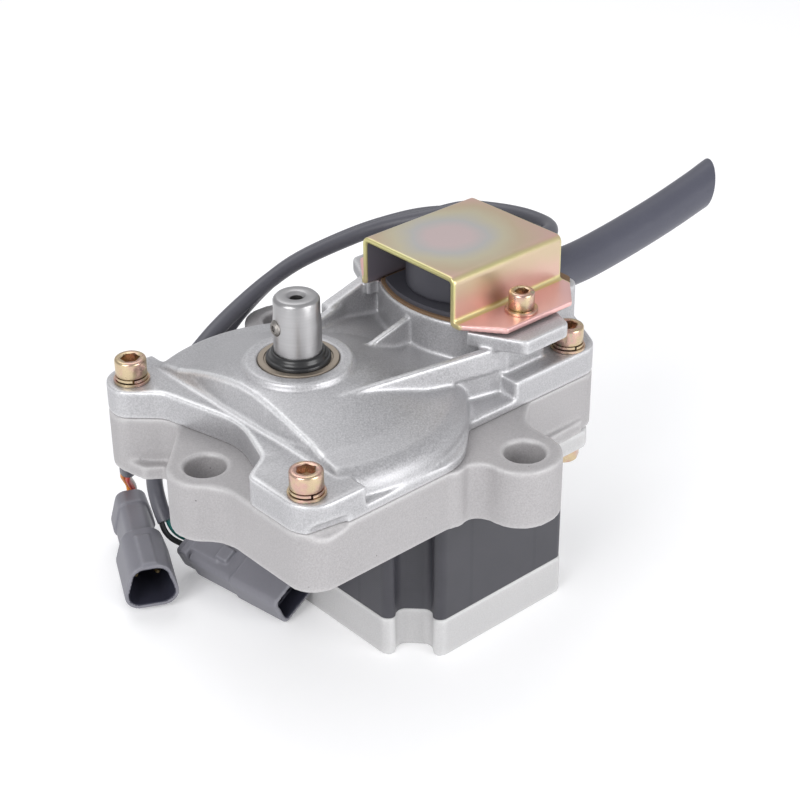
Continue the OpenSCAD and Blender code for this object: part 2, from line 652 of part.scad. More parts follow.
module motor_screws() {
  color([0.6, 0.6, 0.62]) left_motor_corners() translate([0, 0, flange_low]) mirror([0, 0, 1])
    cap_screw(motor_screw_r, motor_front_h + 2.4, motor_head_r, 3.6);
}

module cover_screws() {
  long_l = head_z - flange_low + nut_h + 1;
  color([0.82, 0.68, 0.38]) for (i = [0 : 3])
    translate([cover_screws_at[i][0], cover_screws_at[i][1], head_z])
      cap_screw(screw_d/2, through[i] ? long_l : head_z - part_z + 10, head_d/2, head_h);
}

// nuts of the two long screws, below the motor flange
module long_screw_nuts() {
  color([0.82, 0.68, 0.38]) both_sides() translate([motor_screw_at, motor_screw_at, flange_low - nut_h])
    difference() {
      cylinder(r = nut_r, h = nut_h, $fn = 6);
      translate([0, 0, -1]) cylinder(r = screw_d/2, h = nut_h + 2);
    }
}

module cover_spring_washers() {
  color([0.78, 0.62, 0.34]) at_screws() translate([0, 0, seat_z + washer_h]) difference() {
    cylinder(r = spring_r, h = spring_h);
    translate([0, 0, -1]) cylinder(r = screw_d/2, h = spring_h + 2);
    rotate([0, 0, -118]) translate([screw_d/2 - 0.6, -0.3, -1]) cube([6, 0.6, spring_h + 2]);
  }
}

module cover_washers() {
  color([0.8, 0.64, 0.36]) at_screws() translate([0, 0, seat_z]) difference() {
    cylinder(r = washer_r, h = washer_h);
    translate([0, 0, -1]) cylinder(r = screw_d/2, h = washer_h + 2);
  }
}

module sensor_gasket() {
  color([0.45, 0.3, 0.18]) translate([0, 0, tower_z]) linear_extrude(gasket_t) difference() {
    union() {
      intersection() {
        tower_front(gasket_inset);
        translate([-5, -15]) square([18, 30]);
      }
      polygon(rounded([[4.6, -21.6, 1.7], [tower_side_x - 3.1, -21.6, 1.7], [tower_side_x - 0.7, -16.8, 1.7],
        [end_x - 0.8, -15, 2.5], [end_x - 0.8, 15, 2.5], [tower_side_x - 0.7, 16.8, 1.7],
        [tower_side_x - 3.1, 21.6, 1.7], [4.6, 21.6, 1.7]]));
    }
    translate([sensor_x, 0]) circle(pot_neck_r);
    both_sides() translate(bracket_screw) circle(bracket_screw_r + screw_gap);
  }
}

module sensor_body() {
  color([0.07, 0.07, 0.08]) difference() {
    union() {
      translate([sensor_x, 0, tower_z - 5]) cylinder(r = pot_neck_r, h = foot_z - tower_z + 5.5);
      translate([0, 0, foot_z]) linear_extrude(pot_flange_h) intersection() {
        tower_front(gasket_inset + 0.7);
        translate([-5, -pot_r]) square([sensor_x + pot_flange_r + 5, 2*pot_r]);
      }
    }
    translate([sensor_x, 0, part_z]) cylinder(r = spindle_r + run_gap, h = 60);
  }
}

module sensor_cap() {
  low = foot_z + pot_flange_h;
  color([0.12, 0.12, 0.13]) difference() {
    union() {
      translate([sensor_x, 0, low]) cylinder(r = pot_r, h = pot_top - low - 0.8);
      translate([sensor_x, 0, pot_top - 0.8]) cylinder(r1 = pot_r, r2 = pot_r - 0.8, h = 0.8);
      translate([sensor_x, 0, lead_z + 0.8]) rotate([0, 90, 0]) cylinder(r = lead_r, h = lead_x - sensor_x);
    }
    translate([sensor_x, 0, foot_z]) cylinder(r = pot_r - 2.2, h = pot_top - foot_z - 1.4);
  }
}

module sensor_spindle() {
  color([0.75, 0.75, 0.76]) translate([sensor_x, 0, sensor_gear_z])
    cylinder(r = spindle_r, h = spindle_top - sensor_gear_z);
}

module sensor_gear() {
  color([0.85, 0.83, 0.76]) difference() {
    translate([sensor_x, 0, sensor_gear_z]) rotate([0, 0, 180/sensor_teeth]) linear_extrude(sensor_gear_w)
      polygon(gear_points(sensor_teeth, gear_module));
    translate([sensor_x, 0, sensor_gear_z - 1]) cylinder(r = spindle_r, h = sensor_gear_w + 2);
    for (a = [0 : 60 : 300]) translate([sensor_x, 0, sensor_gear_z - 1]) rotate([0, 0, a])
      translate([11, 0, 0]) cylinder(r = 3.4, h = sensor_gear_w + 2);
  }
}

// bent sheet bracket over the sensor, open to both ends
module sensor_bracket() {
  w = bracket_w/2;
  t = sheet_t;
  z0 = foot_z;
  z1 = bracket_top;
  f = foot_y;
  x0 = bracket_x;
  x1 = bracket_x + bracket_l;
  a = bracket_y - w;
  b = bracket_y + w;
  hat = [[-f, z0 + t, 0], [a, z0 + t, 0.5], [a, z1, 1.7], [b, z1, 1.7], [b, z0 + t, 0.5], [f, z0 + t, 0],
    [f, z0, 0], [b - t, z0, 0.8], [b - t, z1 - t, 0.5], [a + t, z1 - t, 0.5], [a + t, z0, 0.8],
    [-f, z0, 0]];
  color([0.8, 0.72, 0.45]) difference() {
    translate([x0, 0, 0]) rotate([90, 0, 90]) linear_extrude(bracket_l) polygon(rounded(hat));
    both_sides() translate([0, 0, z0 - 1]) linear_extrude(t + 2) {
      polygon([[x0 - 1, -b - 0.5], [x0 + 0.2, -b - 0.5], [x0 + 6.6, -f], [x0 + 6.6, -f - 4],
        [x0 - 1, -f - 4]]);
      polygon([[x1 + 1, -b - 2], [x1 - 0.2, -b - 2], [x1 - 6.6, -f], [x1 - 6.6, -f - 4],
        [x1 + 1, -f - 4]]);
    }
    both_sides() translate([bracket_screw[0], bracket_screw[1], z0 - 1])
      cylinder(r = bracket_screw_r + screw_gap, h = t + 2);
  }
}

module bracket_washers() {
  color([0.8, 0.68, 0.4]) both_sides() translate([bracket_screw[0], bracket_screw[1], foot_z + sheet_t])
    difference() {
      cylinder(r = small_washer_r, h = small_washer_h);
      translate([0, 0, -1]) cylinder(r = bracket_screw_r, h = 3);
    }
}

module bracket_screws() {
  color([0.8, 0.7, 0.42]) both_sides()
    translate([bracket_screw[0], bracket_screw[1], foot_z + sheet_t + small_washer_h])
      cap_screw(bracket_screw_r, sheet_t + small_washer_h + gasket_t + 6.4, bracket_head_r, bracket_head_h);
}

module tube_nipple() {
  color([0.7, 0.6, 0.35]) translate([end_x, nipple_y, nipple_z]) rotate([0, 90, 0]) difference() {
    union() {
      translate([0, 0, -5]) cylinder(r = nipple_r, h = 5 + collar_h);
      cylinder(r = collar_r, h = collar_h);
    }
    translate([0, 0, -6]) cylinder(r = 1.9, h = 30);
  }
}

// rubber tube with an oblique free end
module breather_tube() {
  color([0.1, 0.1, 0.11]) difference() {
    cord(tube_route, tube_d/2, 12, [0, 1, 0]);
    translate(tube_cut) rotate(tube_cut_turn) translate([0, -20, -20]) cube(40);
  }
}

module cable_grommet() {
  color([0.08, 0.08, 0.09]) translate([end_x, grommet_y, grommet_z]) rotate([0, 90, 0]) {
    translate([0, 0, -3.4]) cylinder(r = grommet_r - 1, h = 4);
    cylinder(r = grommet_r, h = 2.6);
    translate([0, 0, 2.6]) cylinder(r1 = grommet_r - 0.5, r2 = 2.7, h = grommet_h - 2.6);
  }
}

module sensor_cable() {
  color([0.36, 0.37, 0.4]) cord(sensor_route, cable_d/2, 10, [0, 0, 1]);
}

module motor_cable() {
  color([0.36, 0.37, 0.4]) cord(motor_route, cable_d/2, 10, [0, 0, 1]);
}

module sensor_wires() {
  color([0.8, 0.45, 0.2]) for (o = sensor_wires_at)
    cord([for (p = sensor_wire_route) p + o], 0.6, 8, [1, 0, 0.3]);
}

module motor_wires() {
  color([0.1, 0.4, 0.36]) for (o = motor_wires_at)
    cord([for (p = motor_wire_route) p + o], 0.7, 8, [1, 0, 0.3]);
}

// connectors: mouth at the origin, body along -X
module plug_a_place() {
  translate(plug_a_at) rotate([0, 0, plug_a_turn]) rotate([0, plug_a_tilt, 0]) children();
}

module plug_b_place() {
  translate(plug_b_at) rotate([0, 0, plug_b_turn]) rotate([plug_b_roll, 0, 0]) children();
}

module along(x, l) {
  translate([x, 0, 0]) rotate([90, 0, 90]) linear_extrude(l) children();
}

function three_corner(w, h, r) = rounded([[-w/2, -h/2, r], [w/2, -h/2, r], [w*0.28, h/2, r],
  [-w*0.28, h/2, r]]);
function box_corner(w, h, r) = rounded([[-w/2, -h/2, r], [w/2, -h/2, r], [w/2, h/2, r], [-w/2, h/2, r]]);

module sensor_plug() {
  color([0.3, 0.31, 0.33]) plug_a_place() difference() {
    union() {
      along(-15, 15) polygon(three_corner(15.2, 12.4, 3.8));
      along(-plug_a_l + 4, plug_a_l - 18.5) polygon(three_corner(10.4, 9.4, 2));
      along(-plug_a_l, 5) polygon(three_corner(11.8, 10.8, 2.6));
      along(-12, 11.4) polygon(rounded([[-2.2, 4, 0], [2.2, 4, 0], [1.8, 6.7, 0.6], [-1.8, 6.7, 0.6]]));
    }
    along(-plug_a_deep, 20) polygon(three_corner(12.6, 10, 2.8));
  }
}

module sensor_plug_pins() {
  color([0.8, 0.75, 0.6]) plug_a_place() for (p = [[-2.6, -2], [2.6, -2], [0, 2]])
    translate([-plug_a_deep, p[0], p[1]]) rotate([0, 90, 0]) {
      cylinder(r = 0.8, h = 5);
      translate([0, 0, 5]) cylinder(r1 = 0.8, r2 = 0.4, h = 0.8);
    }
}

module motor_plug() {
  color([0.28, 0.29, 0.31]) plug_b_place() difference() {
    union() {
      along(-15, 15) polygon(box_corner(11, 8.8, 1.8));
      along(-29, 14.5) polygon(box_corner(10.2, 8, 1.4));
      along(-plug_b_l, 4.5) polygon(box_corner(9, 7.2, 1.2));
      along(-31.6, 2) polygon(rounded([[-4.8, 1, 0], [4.8, 1, 0], [4.8, 5, 0.7], [-4.8, 5, 0.7]]));
      along(-30, 9) polygon(rounded([[-3, 3, 0], [3, 3, 0], [2.6, 4.5, 0.3], [-2.6, 4.5, 0.3]]));
      along(-22, 3.6) polygon(rounded([[-2.2, 3, 0], [2.2, 3, 0], [1.8, 5.3, 0.4], [-1.8, 5.3, 0.4]]));
    }
    along(-9.5, 20) polygon(box_corner(8.8, 6.8, 1.1));
  }
}

module motor_plug_core() {
  color([0.06, 0.06, 0.08]) plug_b_place() difference() {
    along(-9.5, 6) polygon(box_corner(6.2, 4.4, 0.8));
    for (y = [-1.5, 1.5], z = [-1.1, 1.1]) translate([-7, y, z]) rotate([0, 90, 0])
      cylinder(r = 0.7, h = 10);
  }
}

gear_case_body();
gear_case_cover();
output_shaft();
shaft_cross_pin();
output_gear();
low_bearing();
top_bearing();
dust_seal();
seal_ring();
motor_rear_cap();
motor_stator();
motor_front_cap();
motor_rotor();
motor_bearings();
motor_pinion();
motor_screws();
cover_screws();
long_screw_nuts();
cover_spring_washers();
cover_washers();
sensor_gasket();
sensor_body();
sensor_cap();
sensor_spindle();
sensor_gear();
sensor_bracket();
bracket_washers();
bracket_screws();
tube_nipple();
breather_tube();
cable_grommet();
sensor_cable();
motor_cable();
sensor_wires();
motor_wires();
sensor_plug();
sensor_plug_pins();
motor_plug();
motor_plug_core();
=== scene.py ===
import json
import math

import bmesh
import bpy
import numpy
from mathutils import Matrix, Vector
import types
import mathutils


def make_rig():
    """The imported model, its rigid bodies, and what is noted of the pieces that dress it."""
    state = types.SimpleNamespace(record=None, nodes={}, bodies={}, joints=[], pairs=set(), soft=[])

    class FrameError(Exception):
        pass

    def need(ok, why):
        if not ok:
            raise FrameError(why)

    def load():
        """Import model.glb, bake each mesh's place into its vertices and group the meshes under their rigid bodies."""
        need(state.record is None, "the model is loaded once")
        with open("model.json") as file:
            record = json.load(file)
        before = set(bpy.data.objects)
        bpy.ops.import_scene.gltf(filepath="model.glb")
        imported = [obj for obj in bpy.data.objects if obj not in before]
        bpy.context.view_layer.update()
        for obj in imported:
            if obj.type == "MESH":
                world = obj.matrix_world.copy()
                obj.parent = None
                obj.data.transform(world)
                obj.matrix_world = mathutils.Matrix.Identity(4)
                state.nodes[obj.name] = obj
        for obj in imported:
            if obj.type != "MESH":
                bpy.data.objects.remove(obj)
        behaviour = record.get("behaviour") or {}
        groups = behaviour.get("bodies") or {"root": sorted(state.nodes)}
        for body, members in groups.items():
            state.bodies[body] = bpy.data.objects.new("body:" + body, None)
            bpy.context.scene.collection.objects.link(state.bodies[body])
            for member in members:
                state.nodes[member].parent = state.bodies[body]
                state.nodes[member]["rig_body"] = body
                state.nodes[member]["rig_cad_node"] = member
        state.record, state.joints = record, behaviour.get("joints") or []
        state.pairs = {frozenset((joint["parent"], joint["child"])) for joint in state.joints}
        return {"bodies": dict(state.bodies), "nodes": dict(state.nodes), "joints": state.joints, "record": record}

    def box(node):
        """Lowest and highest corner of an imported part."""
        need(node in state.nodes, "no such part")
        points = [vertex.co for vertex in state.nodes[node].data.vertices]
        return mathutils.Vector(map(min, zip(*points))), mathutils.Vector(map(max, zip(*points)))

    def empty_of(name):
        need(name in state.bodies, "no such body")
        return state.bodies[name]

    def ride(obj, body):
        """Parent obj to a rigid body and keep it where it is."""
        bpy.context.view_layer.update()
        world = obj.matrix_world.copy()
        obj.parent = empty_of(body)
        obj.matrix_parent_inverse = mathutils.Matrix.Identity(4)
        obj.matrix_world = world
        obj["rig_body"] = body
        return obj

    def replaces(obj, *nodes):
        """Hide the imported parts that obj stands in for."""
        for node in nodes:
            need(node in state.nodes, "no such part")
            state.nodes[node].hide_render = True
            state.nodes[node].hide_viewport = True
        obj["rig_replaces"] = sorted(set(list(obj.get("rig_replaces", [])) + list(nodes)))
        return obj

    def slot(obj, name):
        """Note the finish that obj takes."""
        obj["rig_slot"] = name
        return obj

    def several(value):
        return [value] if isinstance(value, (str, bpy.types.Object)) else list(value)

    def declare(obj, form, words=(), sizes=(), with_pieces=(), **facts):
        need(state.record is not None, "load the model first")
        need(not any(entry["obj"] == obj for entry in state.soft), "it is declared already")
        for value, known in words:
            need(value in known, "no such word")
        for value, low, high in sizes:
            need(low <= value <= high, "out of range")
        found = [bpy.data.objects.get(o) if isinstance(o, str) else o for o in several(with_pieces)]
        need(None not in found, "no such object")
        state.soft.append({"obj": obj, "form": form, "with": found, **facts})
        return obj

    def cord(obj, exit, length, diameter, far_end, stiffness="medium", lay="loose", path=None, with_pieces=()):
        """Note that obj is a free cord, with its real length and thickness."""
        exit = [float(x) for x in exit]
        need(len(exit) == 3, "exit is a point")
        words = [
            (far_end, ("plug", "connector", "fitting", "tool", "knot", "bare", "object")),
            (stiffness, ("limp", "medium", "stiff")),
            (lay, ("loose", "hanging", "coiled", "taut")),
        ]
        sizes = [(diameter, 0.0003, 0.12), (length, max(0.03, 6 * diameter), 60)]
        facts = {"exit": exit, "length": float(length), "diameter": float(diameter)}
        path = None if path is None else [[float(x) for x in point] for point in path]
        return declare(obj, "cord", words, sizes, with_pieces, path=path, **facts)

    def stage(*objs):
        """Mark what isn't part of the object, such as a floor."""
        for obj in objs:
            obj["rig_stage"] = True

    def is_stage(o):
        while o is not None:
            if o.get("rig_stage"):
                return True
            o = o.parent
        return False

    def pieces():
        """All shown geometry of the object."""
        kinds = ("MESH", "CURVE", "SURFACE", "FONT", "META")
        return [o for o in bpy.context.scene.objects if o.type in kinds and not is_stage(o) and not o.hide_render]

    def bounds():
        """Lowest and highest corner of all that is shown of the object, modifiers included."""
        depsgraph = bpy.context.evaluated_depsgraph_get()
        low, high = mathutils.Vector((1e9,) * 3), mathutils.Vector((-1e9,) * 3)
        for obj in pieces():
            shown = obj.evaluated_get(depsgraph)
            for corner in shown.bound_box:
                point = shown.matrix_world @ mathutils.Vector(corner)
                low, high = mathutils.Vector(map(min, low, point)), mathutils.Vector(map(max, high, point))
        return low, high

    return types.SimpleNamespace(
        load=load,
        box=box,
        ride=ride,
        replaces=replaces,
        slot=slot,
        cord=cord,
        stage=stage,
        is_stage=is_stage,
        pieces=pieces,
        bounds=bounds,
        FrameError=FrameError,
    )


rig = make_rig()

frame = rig.load()
cadBox = [list(corner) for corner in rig.bounds()]
nodes = frame["nodes"]
slotOf = {part["node"]: part["material_slot"] for part in frame["record"]["subparts"]}
mm = 0.001
print("frame loaded,", len(nodes), "nodes")


# shader maths: a socket with operators, and one way to add any other node
def plug(tree, socket, value):
    if isinstance(value, Signal):
        tree.links.new(value.socket, socket)
    else:
        socket.default_value = value


class Signal:
    def __init__(self, tree, socket):
        self.tree = tree
        self.socket = socket

    def node(self, kind, settings=None, sockets=None, out=0):
        made = self.tree.nodes.new(kind)
        for name, value in (settings or {}).items():
            if name == "stops":
                ramp = made.color_ramp
                while len(ramp.elements) < len(value):
                    ramp.elements.new(0.5)
                for stop, (place, colour) in zip(ramp.elements, value):
                    stop.position = place
                    stop.color = (*colour, 1)
            else:
                setattr(made, name, value)
        for name, value in (sockets or {}).items():
            plug(self.tree, made.inputs[name], value)
        return Signal(self.tree, made.outputs[out])

    def maths(self, operation, other=0.0, swapped=False):
        first, second = (other, self) if swapped else (self, other)
        return self.node("ShaderNodeMath", {"operation": operation}, {0: first, 1: second})

    def __add__(self, other):
        return self.maths("ADD", other)

    def __sub__(self, other):
        return self.maths("SUBTRACT", other)

    def __rsub__(self, other):
        return self.maths("SUBTRACT", other, True)

    def __mul__(self, other):
        return self.maths("MULTIPLY", other)

    def __truediv__(self, other):
        return self.maths("DIVIDE", other)

    def __lt__(self, other):
        return self.maths("LESS_THAN", other)

    def __gt__(self, other):
        return self.maths("GREATER_THAN", other)

    __radd__ = __add__
    __rmul__ = __mul__

    def size(self):
        return self.maths("ABSOLUTE")

    def smoothBand(self, low, high):  # smooth rise from 0 at one value to 1 at the other
        return self.node("ShaderNodeMapRange", {"interpolation_type": "SMOOTHSTEP"},
                         {"Value": self, "From Min": low, "From Max": high})

    def blend(self, first, second):  # self is the share of the second colour
        made = self.tree.nodes.new("ShaderNodeMix")
        made.data_type = "RGBA"
        colours = [s for s in made.inputs if s.type == "RGBA"]
        plug(self.tree, made.inputs[0], self)
        for socket, value in zip(colours, (first, second)):
            plug(self.tree, socket, value if isinstance(value, Signal) else (*value, 1))
        return Signal(self.tree, [s for s in made.outputs if s.type == "RGBA"][0])


class Finish:
    def __init__(self, name, metallic=0.0, roughness=0.5, coat=0.0):
        self.material = bpy.data.materials.new(name)
        self.material.use_nodes = True
        self.tree = self.material.node_tree
        self.shader = self.tree.nodes["Principled BSDF"]
        self.shader.inputs["Metallic"].default_value = metallic
        self.shader.inputs["Roughness"].default_value = roughness
        self.shader.inputs["Coat Weight"].default_value = coat
        place = self.tree.nodes.new("ShaderNodeTexCoord")
        self.place = Signal(self.tree, place.outputs["Object"])

    def axes(self):
        split = self.tree.nodes.new("ShaderNodeSeparateXYZ")
        self.tree.links.new(self.place.socket, split.inputs[0])
        return [Signal(self.tree, s) for s in split.outputs]

    def noise(self, scale, detail=2.0, roughness=0.5, stretch=None):
        place = self.place
        if stretch:
            place = place.node("ShaderNodeMapping", None, {"Vector": place, "Scale": stretch})
        return place.node("ShaderNodeTexNoise", None,
                          {"Vector": place, "Scale": scale, "Detail": detail, "Roughness": roughness})

    def mark(self, name):  # a value that the mesh itself carries
        return self.place.node("ShaderNodeAttribute", {"attribute_name": name}, None, "Fac")

    def paint(self, colour, roughness=None, bump=None, metallic=None):  # bump: height, strength and depth
        given = {"Base Color": colour, "Roughness": roughness, "Metallic": metallic}
        for name, value in given.items():
            if value is not None:
                plug(self.tree, self.shader.inputs[name], value)
        if bump:
            height, strength, depth = bump
            relief = height.node("ShaderNodeBump", None,
                                 {"Strength": strength, "Distance": depth, "Height": height})
            plug(self.tree, self.shader.inputs["Normal"], relief)
        return self.material


# the pale ridge colour of each look stands for wear plus painted highlight
castLooks = {
    "cover": {"dark": (0.33, 0.328, 0.34), "light": (0.56, 0.557, 0.57), "wornAndLit": (0.82, 0.82, 0.83),
              "metallic": 0.7, "rough": 0.33, "paintedGlint": 0.25, "pits": 0.0},
    "body": {"dark": (0.345, 0.333, 0.337), "light": (0.48, 0.466, 0.471), "wornAndLit": (0.62, 0.61, 0.61),
             "metallic": 0.35, "rough": 0.46, "paintedGlint": 0.12, "pits": 0.05},
    "motor": {"dark": (0.49, 0.485, 0.486), "light": (0.61, 0.605, 0.606), "wornAndLit": (0.72, 0.72, 0.72),
              "metallic": 0.3, "rough": 0.5, "paintedGlint": 0.1, "pits": 0.0},
}
# the pale specks of glint colour are painted glints
castSkin = {"grain": 2600, "cloud": 70, "paintedGlint": 4200, "pit": 190.0,  # scales of the patterns
            "glint": (0.85, 0.85, 0.86), "hole": (0.09, 0.085, 0.08), "relief": 0.06 * mm}


def castFinish(name, look):  # blasted cast metal: fine grain over slow cloudy patches, with painted glints, brighter on ridges and inner corners as wear plus painted highlight
    finish = Finish(name, metallic=look["metallic"])
    grain = finish.noise(castSkin["grain"], 3, 0.6).smoothBand(0.28, 0.72)
    cloud = finish.noise(castSkin["cloud"], 3, 0.5)
    # painted glints: sparse pale specks for light caught by the blasted grain
    paintedGlint = finish.noise(castSkin["paintedGlint"], 1, 0.5).smoothBand(0.58, 0.74) * look["paintedGlint"]
    ridge = finish.mark("ridge")
    colour = (grain * 0.65 + cloud * 0.35).blend(look["dark"], look["light"])
    colour = paintedGlint.blend(colour, castSkin["glint"])
    # wear plus painted highlight: ridges and inner corners lightened towards the pale ridge colour
    colour = (ridge * (0.7 + grain * 0.3)).blend(colour, look["wornAndLit"])
    if look["pits"]:
        pit = finish.place.node("ShaderNodeTexVoronoi", None,
                                {"Vector": finish.place, "Scale": castSkin["pit"]}, "Distance")
        pit = pit.smoothBand(look["pits"], look["pits"] * 0.5)
        colour = (pit * 0.7).blend(colour, castSkin["hole"])
    rough = look["rough"] + grain * 0.18 + cloud * 0.08 - ridge * 0.08
    return finish.paint(colour, rough, (grain, 0.3, castSkin["relief"]))


stackLook = {
    "dark": (0.038, 0.038, 0.046), "light": (0.058, 0.057, 0.068), "weld": (0.02, 0.02, 0.025),
    "sheet": 0.5 * mm, "seam": 10.2 * mm, "seamHalf": 0.55 * mm, "face": 27.9 * mm, "relief": 0.08 * mm,
}


def stackFinish():  # painted steel sheets with two welded seams on each face
    finish = Finish("stackPaint", metallic=0.0)
    x, y, z = finish.axes()
    sheets = (z * (2 * math.pi / stackLook["sheet"])).maths("SINE")
    cloud = finish.noise(160, 3, 0.55)
    seams = []
    for along, across in ((x, y), (y, x)):
        onLine = (along.size() - stackLook["seam"]).size() < stackLook["seamHalf"]
        seams.append(onLine * (across.size() > stackLook["face"]))
    seam = (seams[0] + seams[1]).maths("MINIMUM", 1.0)
    colour = cloud.blend(stackLook["dark"], stackLook["light"])
    colour = (seam * 0.2).blend(colour, stackLook["weld"])
    rough = 0.36 + cloud * 0.14 + sheets * 0.015
    return finish.paint(colour, rough, (sheets * 0.25 + seam * 1.2, 0.22, stackLook["relief"]))


def steelFinish(name, colour, rough, lines):  # turned steel with fine lines round the axis
    finish = Finish(name, metallic=1.0)
    turned = finish.noise(60, 2, 0.6, (1, 1, lines))
    cloud = finish.noise(220, 2, 0.5)
    shaded = turned.blend(tuple(c * 0.82 for c in colour), colour)
    return finish.paint(shaded, rough + turned * 0.14 + cloud * 0.04, (turned, 0.12, 0.03 * mm))


zincLook = {
    "khaki": (0.61, 0.49, 0.34), "pink": (0.70, 0.45, 0.40), "rose": (0.66, 0.54, 0.53),
    "blue": (0.55, 0.54, 0.52), "lime": (0.62, 0.565, 0.41), "edge": (0.68, 0.67, 0.26),
    # dark: painted shade and dark reflection of the inner faces
    "dark": (0.14, 0.14, 0.175), "foot": (0.86, 0.53, 0.50),
    "spot": (11.0, 2.0), "ripple": 7, "reach": 23,  # middle, unevenness and radius of the rings of film in mm
    "walls": (-14.5 * mm, 15.7 * mm), "metallic": 0.8, "relief": 0.05 * mm,
}


def bracketFinish(ends, foot, top):  # yellow passivated sheet with its rainbow film
    look = zincLook
    finish = Finish("bracketZinc", metallic=look["metallic"])
    x, y, z = finish.axes()
    cloud = finish.noise(70, 3, 0.5)
    grain = finish.noise(1500, 2, 0.6)
    awayX = x - look["spot"][0] * mm
    awayY = y - look["spot"][1] * mm
    away = (awayX * awayX + awayY * awayY).maths("SQRT") / mm + (cloud - 0.5) * look["ripple"]
    stops = [(0.0, look["rose"]), (0.2, look["rose"]), (0.38, look["blue"]), (0.56, look["lime"]),
             (0.72, look["khaki"]), (1.0, look["pink"])]
    film = away.node("ShaderNodeValToRGB", {"stops": stops}, {"Fac": away / look["reach"]})

    # walls turn from khaki to pink downwards, and the feet are pink
    low = z.smoothBand(top - 2 * mm, foot + 3 * mm)
    wall = (low * 0.8 + (cloud - 0.5) * 1.2).maths("MAXIMUM", 0.0).maths("MINIMUM", 1.0)
    wall = wall.blend(look["khaki"], look["pink"])
    wall = z.smoothBand(foot + 2.2 * mm, foot + 1.2 * mm).blend(wall, look["foot"])
    onTop = z.smoothBand(top - 1.1 * mm, top - 0.3 * mm)
    colour = onTop.blend(wall, film)

    # yellow at the cut ends and the folds
    left, right = look["walls"]
    endX = (x - ends[0]).size().maths("MINIMUM", (x - ends[1]).size())
    nearEnd = endX.smoothBand(0.75 * mm, 0.1 * mm)
    sideY = (y - left).size().maths("MINIMUM", (y - right).size())
    nearFold = sideY.smoothBand(1.3 * mm, 0.2 * mm) * z.smoothBand(top - 1.5 * mm, top - 0.3 * mm)
    nearFoot = (z - foot - 1.6 * mm).size().smoothBand(1.0 * mm, 0.2 * mm) * (sideY < 1.2 * mm)
    edge = nearEnd.maths("MAXIMUM", nearFold).maths("MAXIMUM", nearFoot)
    colour = (edge * 0.7).blend(colour, look["edge"])

    # painted shade and painted dark reflection on the inner faces, which are also made dull
    within = (y - (left + right) / 2).size() < (right - left) / 2 - 0.9 * mm
    shadedInside = within * (z < top - 0.9 * mm) * (endX > 0.4 * mm)
    colour = (shadedInside * 0.92).blend(colour, look["dark"])
    rough = 0.25 + grain * 0.12 + cloud * 0.06
    metallic = look["metallic"] - shadedInside * look["metallic"]
    return finish.paint(colour, rough, (grain, 0.12, look["relief"]), metallic)


goldLook = {"gold": (0.60, 0.48, 0.31), "pink": (0.60, 0.38, 0.33), "green": (0.46, 0.46, 0.30),
            "relief": 0.04 * mm}


def goldFinish():  # passivated screws: pale gold with pink and green bands
    finish = Finish("screwZinc", metallic=1.0)
    hue = finish.noise(300, 2, 0.5)
    grain = finish.noise(1600, 2, 0.6)
    warm = hue.smoothBand(0.4, 0.65).blend(goldLook["gold"], goldLook["pink"])
    colour = hue.smoothBand(0.6, 0.72).blend(warm, goldLook["green"])
    return finish.paint(colour, 0.22 + grain * 0.14, (grain, 0.1, goldLook["relief"]))


def plasticFinish(name, dark, light, rough, coat=0.0, grainScale=1400, inner=None):  # moulded or rubber skin
    finish = Finish(name, coat=coat)
    grain = finish.noise(grainScale, 2, 0.6)
    cloud = finish.noise(110, 3, 0.5)
    colour = (grain * 0.4 + cloud * 0.6).blend(dark, light)
    if inner:  # darker within the mouth as painted shade, paler on ridges and corners as rubbed wear plus painted highlight
        # pale edges: rubbed wear plus painted highlight
        colour = (finish.mark("ridge") * 0.35).blend(colour, (0.36, 0.36, 0.39))
        # painted shade: the walls and floor of the mouth take the dark inner colour
        colour = finish.mark("mouth").blend(colour, inner)
    return finish.paint(colour, rough + grain * 0.1 + cloud * 0.08, (grain, 0.18, 0.06 * mm))


